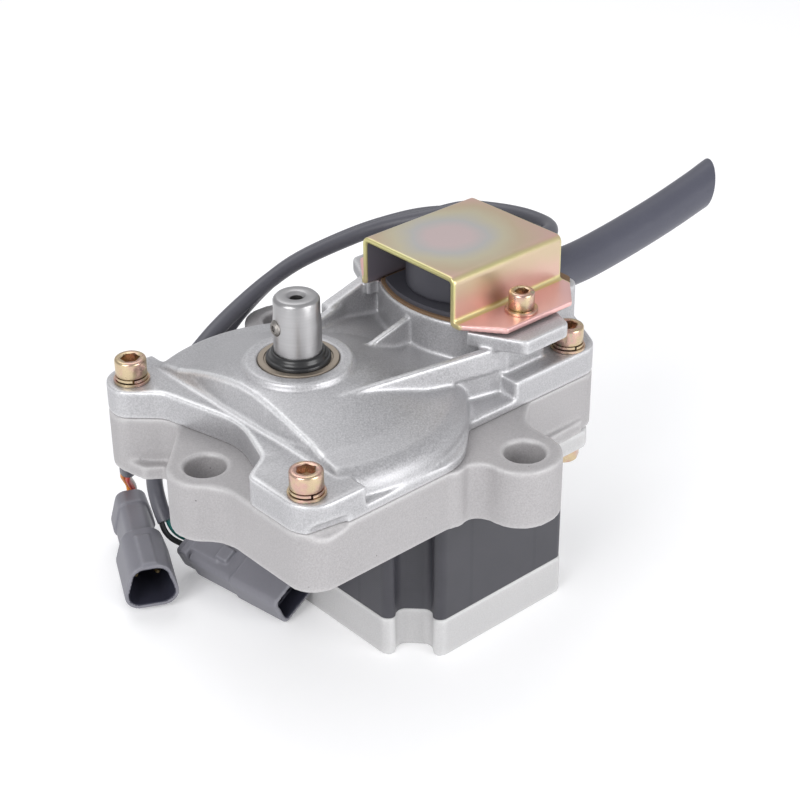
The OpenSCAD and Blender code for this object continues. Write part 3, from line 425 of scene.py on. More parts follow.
finishes = {
    "cover": castFinish("coverCast", castLooks["cover"]),
    "body": castFinish("bodyCast", castLooks["body"]),
    "motorCap": castFinish("motorCast", castLooks["motor"]),
    "stack": stackFinish(),
    "shaft": steelFinish("shaftSteel", (0.46, 0.455, 0.46), 0.26, 40),
    "pin": steelFinish("pinSteel", (0.33, 0.31, 0.29), 0.34, 20),
    "gear": steelFinish("gearSteel", (0.45, 0.45, 0.46), 0.3, 12),
    "bearing": steelFinish("bearingSteel", (0.58, 0.58, 0.60), 0.14, 30),
    "brass": steelFinish("turnedBrass", (0.62, 0.48, 0.24), 0.24, 24),
    "sealRing": steelFinish("sealRingSteel", (0.40, 0.345, 0.285), 0.36, 16),
    "gold": goldFinish(),
    "seal": plasticFinish("sealRubber", (0.006, 0.006, 0.007), (0.014, 0.014, 0.015), 0.26, 0.25),
    "tube": plasticFinish("tubeRubber", (0.062, 0.064, 0.088), (0.088, 0.090, 0.118), 0.27),
    "rubber": plasticFinish("grommetRubber", (0.012, 0.012, 0.013), (0.025, 0.025, 0.027), 0.5),
    "gasket": plasticFinish("gasketFibre", (0.13, 0.075, 0.04), (0.24, 0.15, 0.085), 0.75, 0.0, 900),
    "sensor": plasticFinish("sensorPlastic", (0.050, 0.050, 0.062), (0.075, 0.074, 0.088), 0.34),
    "nylon": plasticFinish("gearNylon", (0.62, 0.59, 0.52), (0.72, 0.69, 0.62), 0.45),
    # inner is the painted shade within the connector mouth
    "connector": plasticFinish("connectorPlastic", (0.165, 0.164, 0.188), (0.220, 0.218, 0.246), 0.4,
                               inner=(0.030, 0.031, 0.048)),
    "core": plasticFinish("mouthRubber", (0.026, 0.027, 0.040), (0.040, 0.041, 0.056), 0.5),
    "cable": plasticFinish("cableJacket", (0.070, 0.070, 0.086), (0.105, 0.105, 0.125), 0.3),
    "wireWhite": plasticFinish("wireWhite", (0.62, 0.60, 0.56), (0.74, 0.72, 0.68), 0.4),
    "wireOrange": plasticFinish("wireOrange", (0.62, 0.20, 0.02), (0.75, 0.28, 0.04), 0.4),
    "wireRed": plasticFinish("wireRed", (0.42, 0.03, 0.02), (0.55, 0.05, 0.03), 0.4),
    "wireTeal": plasticFinish("wireTeal", (0.008, 0.10, 0.09), (0.015, 0.16, 0.14), 0.4),
    "wireBlack": plasticFinish("wireBlack", (0.012, 0.014, 0.015), (0.025, 0.027, 0.028), 0.4),
}
bracketLow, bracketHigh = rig.box("sensor_bracket")
finishes["bracket"] = bracketFinish((bracketLow.x, bracketHigh.x), bracketLow.z, bracketHigh.z)
print("finishes made,", len(finishes))


# mesh helpers
def linked(name, data):
    piece = bpy.data.objects.new(name, data)
    bpy.context.scene.collection.objects.link(piece)
    return piece


def settled(piece, name):  # the evaluated shape as a plain mesh under a new name
    graph = bpy.context.evaluated_depsgraph_get()
    mesh = bpy.data.meshes.new_from_object(piece.evaluated_get(graph), depsgraph=graph)
    bpy.data.objects.remove(piece)
    mesh.name = name
    return linked(name, mesh)


def dress(piece, finish, body, node):  # finish, body and the CAD node that the piece stands for
    if finish:
        piece.data.materials.clear()
        piece.data.materials.append(finish)
    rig.ride(piece, body)
    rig.replaces(piece, node)
    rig.slot(piece, slotOf[node])
    return piece


def loft(name, rings, capped=True, sharp=32):  # rings joined in turn, then capped or joined back to the first
    work = bmesh.new()
    rows = [[work.verts.new(point) for point in ring] for ring in rings]
    count = len(rows[0])
    for low, high in zip(rows, rows[1:] + ([] if capped else rows[:1])):
        for k in range(count):
            n = (k + 1) % count
            work.faces.new((low[k], low[n], high[n], high[k]))
    if capped:
        work.faces.new(list(reversed(rows[0])))
        work.faces.new(rows[-1])
    mesh = bpy.data.meshes.new(name)
    work.to_mesh(mesh)
    work.free()
    mesh.shade_smooth()
    mesh.set_sharp_from_angle(angle=math.radians(sharp))
    return mesh


def circle(radius, height, sides=72, centre=(0, 0)):  # one round ring, sizes in mm
    turns = [2 * math.pi * k / sides for k in range(sides)]
    return [((centre[0] + radius * math.cos(t)) * mm, (centre[1] + radius * math.sin(t)) * mm, height * mm)
            for t in turns]


def hexagon(apothem, height, most=math.inf, sides=72):  # one six-sided ring with a largest radius
    sixth = math.pi / 3
    ring = []
    for k in range(sides):
        t = 2 * math.pi * k / sides
        r = min(most, apothem / math.cos((t + sixth / 2) % sixth - sixth / 2))
        ring.append((r * math.cos(t) * mm, r * math.sin(t) * mm, height * mm))
    return ring


# cast and moulded pieces
soften = {  # name, finish, voxel in mm, rounds of smoothing, share of faces kept
    "gear_case_cover": ("caseCover", "cover", 0.36, 5, 0.36),
    "gear_case_body": ("caseBody", "body", 0.4, 5, 0.4),
    "motor_rear_cap": ("motorRearCap", "motorCap", 0.45, 4, 0.7),
    "motor_front_cap": ("motorFrontCap", "motorCap", 0.5, 3, 0.8),
    "sensor_bracket": ("sensorBracket", "bracket", 0.3, 3, 0.7),
    "sensor_cap": ("sensorCap", "sensor", 0.35, 3, 0.8),
    "sensor_plug": ("sensorPlug", "connector", 0.22, 4, 0.7),
    "motor_plug": ("motorPlug", "connector", 0.22, 4, 0.7),
}
mouths = {  # where each connector opens: place in mm, turn and tilt in degrees, depth in mm
    "sensor_plug": ((-57.9, 30.4, 7.2), 244.0, 4.0, 13.4),
    "motor_plug": ((-35.2, 5.4, 6.5), 278.0, 0.0, 9.5),
}
mouthMark = {"lean": 0.2, "facing": 0.6, "past": 0.6, "floor": 1.0}  # how walls and floor of a mouth are told
machined = {  # rims that stay crisp: x, y and radius in mm
    "gear_case_cover": [(-35.2, 0.0, 12.2), (-35.2, 0.0, 8.85)],
    "gear_case_body": [(-61.1, 0.0, 4.5), (-7.7, -41.2, 4.5), (-7.7, 41.2, 4.5)],
}
crisp = {"usual": 0.5, "share": 0.16, "reach": 0.8}  # smoothing elsewhere and near those rims, reach in mm
wearAndHighlight = {  # ridges lightened as wear plus painted highlight, inner corners as painted highlight: bend where they begin, its range, share for inner corners, rounds of blurring, strength
    "begin": 0.012, "range": 0.035, "corner": 0.2, "coverCorner": 0.6, "rounds": 3, "strength": 0.6,
    "cutX": -44, "cutY": 25, "cutZ": 62.6, "cutStrength": 3.6, "hubReach": 0.8, "hubStrength": 0.28,
}


def marked(mesh, name, values):
    mesh.attributes.new(name, "FLOAT", "POINT").data.foreach_set("value", values.astype(numpy.float32))


def pointsOf(mesh):
    places, outward = (numpy.empty(len(mesh.vertices) * 3, numpy.float32) for _ in range(2))
    mesh.vertices.foreach_get("co", places)
    mesh.vertices.foreach_get("normal", outward)
    return places.reshape(-1, 3).astype(float), outward.reshape(-1, 3).astype(float)


def neighbourMean(mesh):  # a function that gives the mean over the neighbours of each point
    ends = numpy.empty(len(mesh.edges) * 2, numpy.int32)
    mesh.edges.foreach_get("vertices", ends)
    first, second = ends.reshape(-1, 2).T
    points = len(mesh.vertices)
    count = numpy.bincount(ends, minlength=points)

    def around(values):
        total = numpy.bincount(first, values[second], points) + numpy.bincount(second, values[first], points)
        return total / count

    return around


def relax(mesh, rounds, holes):  # smooth the steps of the voxels, less at machined rims
    around = neighbourMean(mesh)
    places, _ = pointsOf(mesh)
    share = numpy.full(len(places), crisp["usual"])
    for x, y, radius in holes:
        away = numpy.hypot(places[:, 0] - x * mm, places[:, 1] - y * mm)
        share[numpy.abs(away - radius * mm) < crisp["reach"] * mm] = crisp["share"]
    for _ in range(rounds):
        middle = numpy.stack([around(places[:, axis]) for axis in range(3)], axis=1)
        places += share[:, None] * (middle - places)
    mesh.vertices.foreach_set("co", places.astype(numpy.float32).ravel())
    mesh.update()


dome = {
    "centre": -35.2, "bore": 8.85, "hubR": 12.0, "hubZ": 72.6, "chamfer": (0.5, 0.4), "draft": 0.1,
    "baseR": 12.5, "baseZ": 70.9, "rimR": 28.9, "rimZ": 64.8, "skirt": 0.05, "sink": 0.3, "under": 67.0,
    "cutX": -50.6, "cutZ": 63.2, "cutSlope": 80, "cutIn": 0.9, "cutEnds": (17, 28), "cutSide": -0.3,
    "steps": 160, "rows": 12,
}


def domeForm():  # crown of the dome with its hub, cut off upright on the side of the left ear
    d = dome
    fall = (d["baseZ"] - d["rimZ"]) / (d["rimR"] - d["baseR"])
    lean = 1 / math.tan(math.radians(d["cutSlope"]))
    near, far = d["cutEnds"]
    wide, deep = d["chamfer"]
    hub = [(d["bore"], d["under"]), (d["bore"], d["hubZ"]), (d["hubR"] - wide, d["hubZ"]),
           (d["hubR"], d["hubZ"] - deep), (d["hubR"] + d["draft"], d["baseZ"] + deep)]
    rings = []
    for k in range(d["steps"]):
        turn = 2 * math.pi * k / d["steps"]
        c, s = math.cos(turn), math.sin(turn)
        edge, foot, ends = d["rimR"], d["rimR"] + d["skirt"], 1
        if c < d["cutSide"]:
            ends = min(1, max(0, ((d["cutX"] - d["centre"]) / c - near) / (far - near)))
            cut = d["cutX"] + d["cutIn"] * ends - d["centre"]
            foot = min(foot, cut / c)
            for _ in range(d["rows"]):  # settles where the cone meets the leaning cut
                height = d["baseZ"] - fall * (edge - d["baseR"])
                edge = min(d["rimR"], (cut + lean * (height - d["cutZ"])) / c)
        ring = list(hub)
        for j in range(d["rows"] + 1):
            r = d["baseR"] + (edge - d["baseR"]) * j / d["rows"]
            ring.append((r, d["baseZ"] - fall * (r - d["baseR"]) - d["sink"] * ends * j / d["rows"]))
        ring.append((foot, d["cutZ"] - deep))
        rings.append([((d["centre"] + r * c) * mm, r * s * mm, z * mm) for r, z in ring])
    return loft("domeForm", rings, False)


ribForm = {"start": (-36.1, -14.7, 70.1), "end": (4.5, -21.75, 69.9), "foot": 64.5, "half": (0.85, 1.3)}


def sideRib():  # rib from the hub to the tower along the front of the pocket
    (x0, y0, _), (x1, y1, _) = ribForm["start"], ribForm["end"]
    far = math.hypot(x1 - x0, y1 - y0)
    nx, ny = (y0 - y1) / far, (x1 - x0) / far
    top, low = ribForm["half"]
    rings = []
    for x, y, z in (ribForm["start"], ribForm["end"]):
        section = [(-low, ribForm["foot"]), (low, ribForm["foot"]), (top, z), (-top, z)]
        rings.append([((x + nx * w) * mm, (y + ny * w) * mm, h * mm) for w, h in section])
    return loft("sideRib", rings)


earFillet = {"centre": (-73.4, -13.41), "radius": 10.0, "turn": 47.3, "steps": 12, "back": -62.4,
             "heights": (42.4, 56.3)}


def earForm():  # wide fillet between the left ear and the wall beside it
    (x, y), r, steps = earFillet["centre"], earFillet["radius"], earFillet["steps"]
    turns = [math.radians(earFillet["turn"] * k / steps) for k in range(steps + 1)]
    plan = [(x + r * math.cos(t), y + r * math.sin(t)) for t in turns]
    plan += [(earFillet["back"], plan[-1][1]), (earFillet["back"], plan[0][1])]
    return loft("earForm", [[(a * mm, b * mm, h * mm) for a, b in plan] for h in earFillet["heights"]])


joinedForms = {"gear_case_cover": (domeForm, sideRib), "gear_case_body": (earForm,)}


def markRidges(mesh, voxel, onCover):  # how far each point stands out, or lies back in a corner; the mark lightens them as wear plus painted highlight
    around = neighbourMean(mesh)
    places, outward = pointsOf(mesh)
    middle = numpy.stack([around(places[:, axis]) for axis in range(3)], axis=1)
    bend = ((places - middle) * outward).sum(axis=1) / (voxel * mm)
    corner = wearAndHighlight["coverCorner"] if onCover else wearAndHighlight["corner"]
    ridge = numpy.clip((bend - wearAndHighlight["begin"]) / wearAndHighlight["range"], 0, 1)
    # inner corners count too, as painted highlight where fillets catch the light
    ridge += corner * numpy.clip((-bend - wearAndHighlight["begin"]) / wearAndHighlight["range"], 0, 1)
    for _ in range(wearAndHighlight["rounds"]):
        ridge = 0.5 * ridge + 0.5 * around(ridge)
    x, y, z = (places / mm).T
    gain = numpy.full(len(ridge), wearAndHighlight["strength"])
    if onCover:  # painted highlight bright along the cut of the dome, faint on the hub
        gain[(x < wearAndHighlight["cutX"]) & (numpy.abs(y) < wearAndHighlight["cutY"]) & (z > wearAndHighlight["cutZ"])] = wearAndHighlight["cutStrength"]
        gain[numpy.hypot(x - dome["centre"], y) < dome["baseR"] + wearAndHighlight["hubReach"]] = wearAndHighlight["hubStrength"]
    marked(mesh, "ridge", numpy.clip(ridge * gain, 0, 1))


def markMouth(mesh, place, turn, tilt, depth):  # points on the walls and the floor of the mouth, which the connector finish darkens as painted shade
    places, outward = pointsOf(mesh)
    a, b = math.radians(turn), math.radians(tilt)
    axis = numpy.array((math.cos(a) * math.cos(b), math.sin(a) * math.cos(b), -math.sin(b)))
    away = places / mm - numpy.array(place)
    along = away @ axis
    off = away - along[:, None] * axis
    wall = (off * outward).sum(axis=1) < -mouthMark["lean"] * numpy.linalg.norm(off, axis=1)
    floor = (outward @ axis > mouthMark["facing"]) & (along < mouthMark["floor"] - depth)
    marked(mesh, "mouth", ((along > -depth - mouthMark["past"]) & (wall | floor)) * 1.0)


def softened(node, name, finish, voxel, rounds, keep):  # edges rounded as a casting or moulding has them
    mesh = nodes[node].data.copy()
    work = bmesh.new()
    work.from_mesh(mesh)
    for form in joinedForms.get(node, ()):
        work.from_mesh(form())
    bmesh.ops.remove_doubles(work, verts=work.verts, dist=0.002 * mm)
    work.to_mesh(mesh)
    work.free()
    piece = linked(name + "Raw", mesh)
    remesh = piece.modifiers.new("remesh", "REMESH")
    remesh.mode = "VOXEL"
    remesh.voxel_size = voxel * mm
    remesh.use_smooth_shade = True
    piece = settled(piece, name + "Dense")
    relax(piece.data, rounds, machined.get(node, []))
    markRidges(piece.data, voxel, node == "gear_case_cover")
    if node in mouths:
        markMouth(piece.data, *mouths[node])
    thin = piece.modifiers.new("thin", "DECIMATE")
    thin.ratio = keep
    piece = settled(piece, name)
    piece.data.shade_smooth()
    print(name, len(piece.data.polygons), "faces")
    return dress(piece, finishes[finish], "housing", node)


for node, row in soften.items():
    softened(node, *row)
print("castings and mouldings rounded")


# geometry nodes: one tree puts a shape on points, one draws a tube along a curve
def newTree(name, inputs):
    tree = bpy.data.node_groups.new(name, "GeometryNodeTree")
    tree.interface.new_socket(name="Geometry", in_out="OUTPUT", socket_type="NodeSocketGeometry")
    tree.interface.new_socket(name="Geometry", in_out="INPUT", socket_type="NodeSocketGeometry")
    for label, kind in inputs:
        tree.interface.new_socket(name=label, in_out="INPUT", socket_type=kind)
    return tree, tree.nodes.new("NodeGroupInput"), tree.nodes.new("NodeGroupOutput")


def finishTree(tree, source, given, end):  # every tree ends in plain geometry with its material
    real = tree.nodes.new("GeometryNodeRealizeInstances")
    paint = tree.nodes.new("GeometryNodeSetMaterial")
    tree.links.new(source, real.inputs["Geometry"])
    tree.links.new(real.outputs["Geometry"], paint.inputs["Geometry"])
    tree.links.new(given.outputs["Finish"], paint.inputs["Material"])
    tree.links.new(paint.outputs["Geometry"], end.inputs["Geometry"])
    return tree


def fastenerTree():
    tree, given, end = newTree("fastenersOnSeats", [
        ("Shape", "NodeSocketObject"), ("Turn", "NodeSocketFloat"), ("Finish", "NodeSocketMaterial")])
    shape = tree.nodes.new("GeometryNodeObjectInfo")
    shape.inputs["As Instance"].default_value = True
    turn = tree.nodes.new("ShaderNodeCombineXYZ")
    place = tree.nodes.new("GeometryNodeInstanceOnPoints")
    index = tree.nodes.new("GeometryNodeInputIndex")
    step = tree.nodes.new("ShaderNodeMath")
    step.operation = "MULTIPLY"
    tree.links.new(given.outputs["Shape"], shape.inputs["Object"])
    tree.links.new(index.outputs[0], step.inputs[0])
    tree.links.new(given.outputs["Turn"], step.inputs[1])
    tree.links.new(step.outputs[0], turn.inputs["Z"])
    tree.links.new(given.outputs["Geometry"], place.inputs["Points"])
    tree.links.new(shape.outputs["Geometry"], place.inputs["Instance"])
    tree.links.new(turn.outputs[0], place.inputs["Rotation"])
    return finishTree(tree, place.outputs["Instances"], given, end)


def tubeTree():
    tree, given, end = newTree("tubeOnRoute", [
        ("Radius", "NodeSocketFloat"), ("Sides", "NodeSocketInt"), ("Finish", "NodeSocketMaterial")])
    section = tree.nodes.new("GeometryNodeCurvePrimitiveCircle")
    sweep = tree.nodes.new("GeometryNodeCurveToMesh")
    sweep.inputs["Fill Caps"].default_value = True
    shade = tree.nodes.new("GeometryNodeSetShadeSmooth")
    tree.links.new(given.outputs["Radius"], section.inputs["Radius"])
    tree.links.new(given.outputs["Sides"], section.inputs["Resolution"])
    tree.links.new(given.outputs["Geometry"], sweep.inputs["Curve"])
    tree.links.new(section.outputs["Curve"], sweep.inputs["Profile Curve"])
    tree.links.new(sweep.outputs["Mesh"], shade.inputs["Geometry"])
    return finishTree(tree, shade.outputs["Geometry"], given, end)


def withTree(piece, tree, values):
    modifier = piece.modifiers.new(tree.name, "NODES")
    modifier.node_group = tree
    ids = {item.name: item.identifier for item in tree.interface.items_tree if item.in_out == "INPUT"}
    for label, value in values.items():
        modifier[ids[label]] = value
    return piece


onSeats = fastenerTree()
onRoute = tubeTree()


def repeated(name, mesh, places, turn, finish):  # one shape on several seats, as one mesh
    shape = linked(name + "Shape", mesh)
    seats = bpy.data.meshes.new(name + "Seats")
    seats.from_pydata([Vector(p) * mm for p in places], [], [])
    holder = withTree(linked(name + "Raw", seats), onSeats, {"Shape": shape, "Turn": turn, "Finish": finish})
    piece = settled(holder, name)
    bpy.data.objects.remove(shape)
    return piece


# screws, washers and nuts
coverScrew = {
    "short": [(-58.0, 30.4), (-58.6, -31.0)], "long": [(23.57, -23.57), (23.57, 23.57)], "seat": 63.2,
    "washer": (2.1, 4.0, 0.7), "spring": (2.05, 3.65, 0.9), "split": -118, "r": 2.0, "shortL": 18.4,
    "longL": 31.5, "head": (3.5, 4.0, 1.85), "nut": (3.5, 3.2, 2.0), "nutZ": 34.3,
}
bracketScrew = {"places": [(12.0, -19.9), (12.0, 19.9)], "seat": 75.1, "washer": (1.6, 3.7, 0.8), "r": 1.5,
                "length": 9.0, "head": (2.9, 4.0, 1.45)}
springForm = {"gap": 7, "rise": 0.16, "steps": 60, "bevel": 0.1, "low": 0.12, "side": 0.2}


def capScrew(name, r, length, headR, headH, socket):
    turned = [(r * 0.7, -length), (r, -length + 0.5), (r, 0), (headR - 0.25, 0), (headR - 0.07, 0.07),
              (headR, 0.25), (headR, headH - 0.55), (headR - 0.1, headH - 0.25), (headR - 0.3, headH - 0.07),
              (headR - 0.55, headH), (socket * 1.24, headH), (socket * 1.17, headH - 0.05)]
    sixSided = [(socket * 1.02, headH - 0.14), (socket, headH - 2.1), (socket * 0.9, headH - 2.2),
                (0.1, headH - 2.6)]
    return loft(name, [circle(*p) for p in turned] + [hexagon(*p) for p in sixSided])


def flatWasher(name, inner, outer, height):
    b = 0.12  # bevel of the outer edges
    profile = [(inner, 0), (outer - b, 0), (outer, b), (outer, height - b), (outer - b, height),
               (inner, height)]
    return loft(name, [circle(*p) for p in profile], False)


def springWasher(name, inner, outer, height):  # split ring with its ends a little apart
    gap, rise, steps = math.radians(springForm["gap"]), springForm["rise"], springForm["steps"]
    bevel, low, side = springForm["bevel"], springForm["low"], springForm["side"]
    section = [(inner, height - low), (outer - bevel, height - low), (outer, height - side), (outer, side),
               (outer - bevel, low), (inner, low)]
    rings = []
    for k in range(steps + 1):
        t = gap / 2 + (2 * math.pi - gap) * k / steps
        lift = rise * (k / steps - 0.5)
        rings.append([(r * math.cos(t) * mm, r * math.sin(t) * mm, (z + lift) * mm) for r, z in section])
    return loft(name, rings)


def hexNut(name, apothem, height, hole):
    face, corner, bevel = apothem - 0.1, apothem * 1.08, 0.45
    rings = [circle(hole, 0), circle(face, 0), hexagon(apothem, bevel, corner),
             hexagon(apothem, height - bevel, corner), circle(face, height), circle(hole, height)]
    return loft(name, rings, False, 25)


def addFasteners():
    c, b = coverScrew, bracketScrew
    seats = c["short"] + c["long"]
    onWasher = c["seat"] + c["washer"][2]
    onSpring = onWasher + c["spring"][2]
    short = capScrew("shortScrew", c["r"], c["shortL"], *c["head"])
    long = capScrew("longScrew", c["r"], c["longL"], *c["head"])
    spring = springWasher("springWasher", *c["spring"])
    spring.transform(Matrix.Rotation(math.radians(c["split"]), 4, "Z"))
    small = capScrew("smallScrew", b["r"], b["length"], *b["head"])
    smallWasher = flatWasher("smallWasher", *b["washer"])
    rows = [  # name, shape, places, height, turn from each to the next, CAD node
        ("coverScrewsShort", short, c["short"], onSpring, 0.35, "cover_screws"),
        ("coverScrewsLong", long, c["long"], onSpring, 0.35, "cover_screws"),
        ("coverWashers", flatWasher("coverWasher", *c["washer"]), seats, c["seat"], 0.0, "cover_washers"),
        ("springWashers", spring, seats, onWasher, 0.1, "cover_spring_washers"),
        ("longScrewNuts", hexNut("longNut", *c["nut"]), c["long"], c["nutZ"], 0.0, "long_screw_nuts"),
        ("bracketScrews", small, b["places"], b["seat"] + b["washer"][2], 0.4, "bracket_screws"),
        ("bracketWashers", smallWasher, b["places"], b["seat"], 0.0, "bracket_washers"),
    ]
    for name, mesh, places, height, turn, node in rows:
        piece = repeated(name, mesh, [(*p, height) for p in places], turn, finishes["gold"])
        dress(piece, None, "housing", node)


addFasteners()
print("fasteners placed")


# output shaft and seal, turned
outputShaft = {
    "centre": (-35.2, 0.0), "sides": 128,
    "profile": [(2.2, 43.7), (2.5, 44.0), (2.5, 47.8), (6.5, 47.8), (6.5, 58.5), (6.0, 58.5), (6.0, 65.0),
                (5.2, 65.0), (5.2, 81.6), (5.0, 83.2), (5.0, 86.55), (4.88, 86.8), (4.38, 87.34), (4.2, 87.4),
                (2.2, 87.4), (2.05, 87.34), (1.4, 86.7), (1.4, 82.0), (0.1, 81.4)],
}
seal = {"inner": 5.25, "lip": 7.05, "ringR": 8.8, "base": 65.5, "hub": 72.6, "sides": 96}


def addShaft():
    rings = [circle(r, z, outputShaft["sides"], outputShaft["centre"]) for r, z in outputShaft["profile"]]
    dress(linked("outputShaft", loft("outputShaft", rings)), finishes["shaft"], "output", "output_shaft")


def addSeal():
    r, lip, base, hub = seal["inner"], seal["lip"], seal["base"], seal["hub"]
    section = [(r + 1.3, base), (lip, base), (lip, hub + 0.5), (lip - 0.08, hub + 0.7),
               (lip - 0.28, hub + 0.83), (lip - 0.45, hub + 0.8), (r + 1.2, hub + 0.82), (r + 1.0, hub + 1.1),
               (r + 0.87, hub + 1.5), (r + 0.74, hub + 1.9), (r + 0.52, hub + 2.1), (r + 0.22, hub + 2.18),
               (r, hub + 2.1), (r, hub + 1.3), (r + 0.95, hub + 0.1)]
    rings = [circle(a, z, seal["sides"], outputShaft["centre"]) for a, z in section]
    dress(linked("dustSeal", loft("dustSeal", rings, False, 50)), finishes["seal"], "housing", "dust_seal")


def addSealRing():  # thin metal ring let into the hub, nearly flush
    lip, out, base, hub = seal["lip"] + 0.02, seal["ringR"], seal["base"], seal["hub"]
    section = [(lip, base), (out, base), (out, hub - 0.05), (out - 0.15, hub + 0.1), (7.5, hub + 0.1),
               (7.35, hub - 0.1), (lip, hub - 0.1)]
    rings = [circle(a, z, seal["sides"], outputShaft["centre"]) for a, z in section]
    dress(linked("sealRing", loft("sealRing", rings, False, 30)), finishes["sealRing"], "housing", "seal_ring")


addShaft()
addSeal()
addSealRing()
print("shaft and seal turned")


# cords: route points in mm as they lie in the part
sensorRoute = [
    (32, 0, 78), (37, 0, 77.8), (42.5, 1.2, 77.2), (46.3, 6, 76.4), (47, 14, 75.8), (45.5, 23, 74.8),
    (42, 30, 74), (35.8, 35.7, 72), (26.7, 44.2, 69), (18, 49, 66.2), (6, 51, 64), (-4, 50.4, 62),
    (-15.2, 47.7, 60), (-25.2, 44.2, 58.4), (-33.2, 41.6, 56), (-40, 42.2, 51.4), (-45, 45.4, 44),
    (-47.5, 49, 36), (-47.5, 52.4, 28), (-46.6, 54.4, 23.4)]
motorRoute = [
    (39.8, 11.4, 67.5), (45, 12.6, 67.3), (51, 17.6, 67.4), (54, 26, 67.8), (50, 35.4, 68.4), (41, 43, 68.4),
    (31.6, 49.6, 66.2), (23, 55.4, 62.8), (10.5, 57, 60.6), (0, 55.8, 58.6), (-12.4, 51, 56.8),
    (-20.8, 47, 55.2), (-28, 44, 53), (-34, 43, 48.6), (-39, 43.4, 42), (-42, 45, 35), (-43, 47.4, 28),
    (-43.4, 48, 21.6), (-44, 45.8, 16.6), (-44.4, 43, 13.4)]
tubeRoute = [
    (38.2, 0, 67.7), (42, 0, 67.2), (52, 0, 66.9), (63, 0, 67.8), (74, 0, 69.2), (84, 0, 70.8), (94, 0, 72.8),
    (98.6, 0, 73.9)]
sensorWireRoute = [
    (-46.8, 54, 24.4), (-45.6, 57, 20), (-43, 60.6, 16), (-41.2, 62, 12.6), (-41.8, 60.8, 10.2),
    (-43.2, 58.2, 9.3)]
motorWireRoute = [
    (-44.3, 44, 14.2), (-43.9, 43.2, 11), (-42.6, 42.2, 8.4), (-40.4, 40, 6.5), (-39.9, 37.8, 6.2)]
sensorWires = [
    ((0.9, 0.5, 0), "wireWhite"), ((-0.7, 0.6, 0.5), "wireOrange"), ((-0.1, -0.7, -0.4), "wireRed")]
motorWires = [((0.9, 0, 0.4), "wireTeal"), ((-0.9, 0, -0.2), "wireBlack")]
cords = {  # thicknesses in mm, then the oblique cut of the tube: its slope, how far it reaches, its short side
    "cable": 4.0, "sensorWire": 1.2, "motorWire": 1.4, "tube": 10.0, "bore": 7.0, "lip": (0.12, 0.88),
    "cut": 0.85, "lean": 10.6, "short": (0, -0.66, -0.75),
}


def smoothRoute(points, steps):  # one smooth curve through the points
    p = [Vector(q) * mm for q in points]
    made = []
    for i in range(len(p) - 1):
        a, b, c, d = p[max(i - 1, 0)], p[i], p[i + 1], p[min(i + 2, len(p) - 1)]
        for k in range(steps):
            t = k / steps
            made.append(0.5 * (2 * b + (c - a) * t + (2 * a - 5 * b + 4 * c - d) * t * t
                               + (3 * b - a - 3 * c + d) * t * t * t))
    return made + [p[-1]]


def tubeOn(name, path, diameter, sides, finish):
    data = bpy.data.curves.new(name, "CURVE")
    data.dimensions = "3D"
    spline = data.splines.new("POLY")
    spline.points.add(len(path) - 1)
    for point, place in zip(spline.points, path):
        point.co = (*place, 1)
    holder = withTree(linked(name + "Raw", data), onRoute,
                      {"Radius": diameter / 2 * mm, "Sides": sides, "Finish": finish})
    return settled(holder, name)


def lengthOf(path):
    return sum((b - a).length for a, b in zip(path, path[1:]))


def addCable(name, route, node, wireName, wireRoute, wires, wireNode, wireSize, plugs):
    path = smoothRoute(route, 8)
    cable = dress(tubeOn(name, path, cords["cable"], 24, finishes["cable"]), None, "housing", node)
    leads = []
    for k, (shift, finish) in enumerate(wires):
        line = smoothRoute([Vector(p) + Vector(shift) for p in wireRoute], 8)
        lead = tubeOn(f"{wireName}{k + 1}", line, wireSize, 14, finishes[finish])
        leads.append(dress(lead, None, "housing", wireNode))
    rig.cord(cable, exit=path[0], length=lengthOf(path), diameter=cords["cable"] * mm, far_end="connector",
            stiffness="limp", lay="loose", path=path, with_pieces=leads + plugs)


def addTube():
    path = smoothRoute(tubeRoute, 6)
    side, short, sides = Vector((0, 1, 0)), Vector(cords["short"]), 48
    outer, inner = cords["tube"] / 2 * mm, cords["bore"] / 2 * mm
    rows = {outer: [], inner: []}
    for i, middle in enumerate(path):
        ahead = (path[min(i + 1, len(path) - 1)] - path[max(i - 1, 0)]).normalized()
        up = ahead.cross(side)
        share = max(0.0, 1 - lengthOf(path[i:]) / (cords["lean"] * mm)) ** 2  # the last rings lean into the cut
        for radius, ring in rows.items():
            spokes = [radius * (math.cos(t) * side + math.sin(t) * up)
                      for t in [2 * math.pi * k / sides for k in range(sides)]]
            slope = cords["cut"] * share
            ring.append([middle + spoke - ahead * (spoke.dot(short) * slope) for spoke in spokes])
    lip = [[a.lerp(b, part) for a, b in zip(rows[outer][-1], rows[inner][-1])] for part in cords["lip"]]
    rings = rows[outer] + lip + list(reversed(rows[inner]))
    mesh = loft("breatherTube", rings, False, 40)
    tube = dress(linked("breatherTube", mesh), finishes["tube"], "housing", "breather_tube")
    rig.cord(tube, exit=path[0], length=lengthOf(path), diameter=cords["tube"] * mm, far_end="bare",
            stiffness="stiff", lay="hanging", path=path)


objects = bpy.data.objects
addCable("sensorCable", sensorRoute, "sensor_cable", "sensorWire", sensorWireRoute, sensorWires, "sensor_wires",
         cords["sensorWire"], [objects["sensorPlug"], nodes["sensor_plug_pins"]])
addCable("motorCable", motorRoute, "motor_cable", "motorWire", motorWireRoute, motorWires, "motor_wires",
         cords["motorWire"], [objects["motorPlug"], nodes["motor_plug_core"]])
addTube()
print("cords laid")


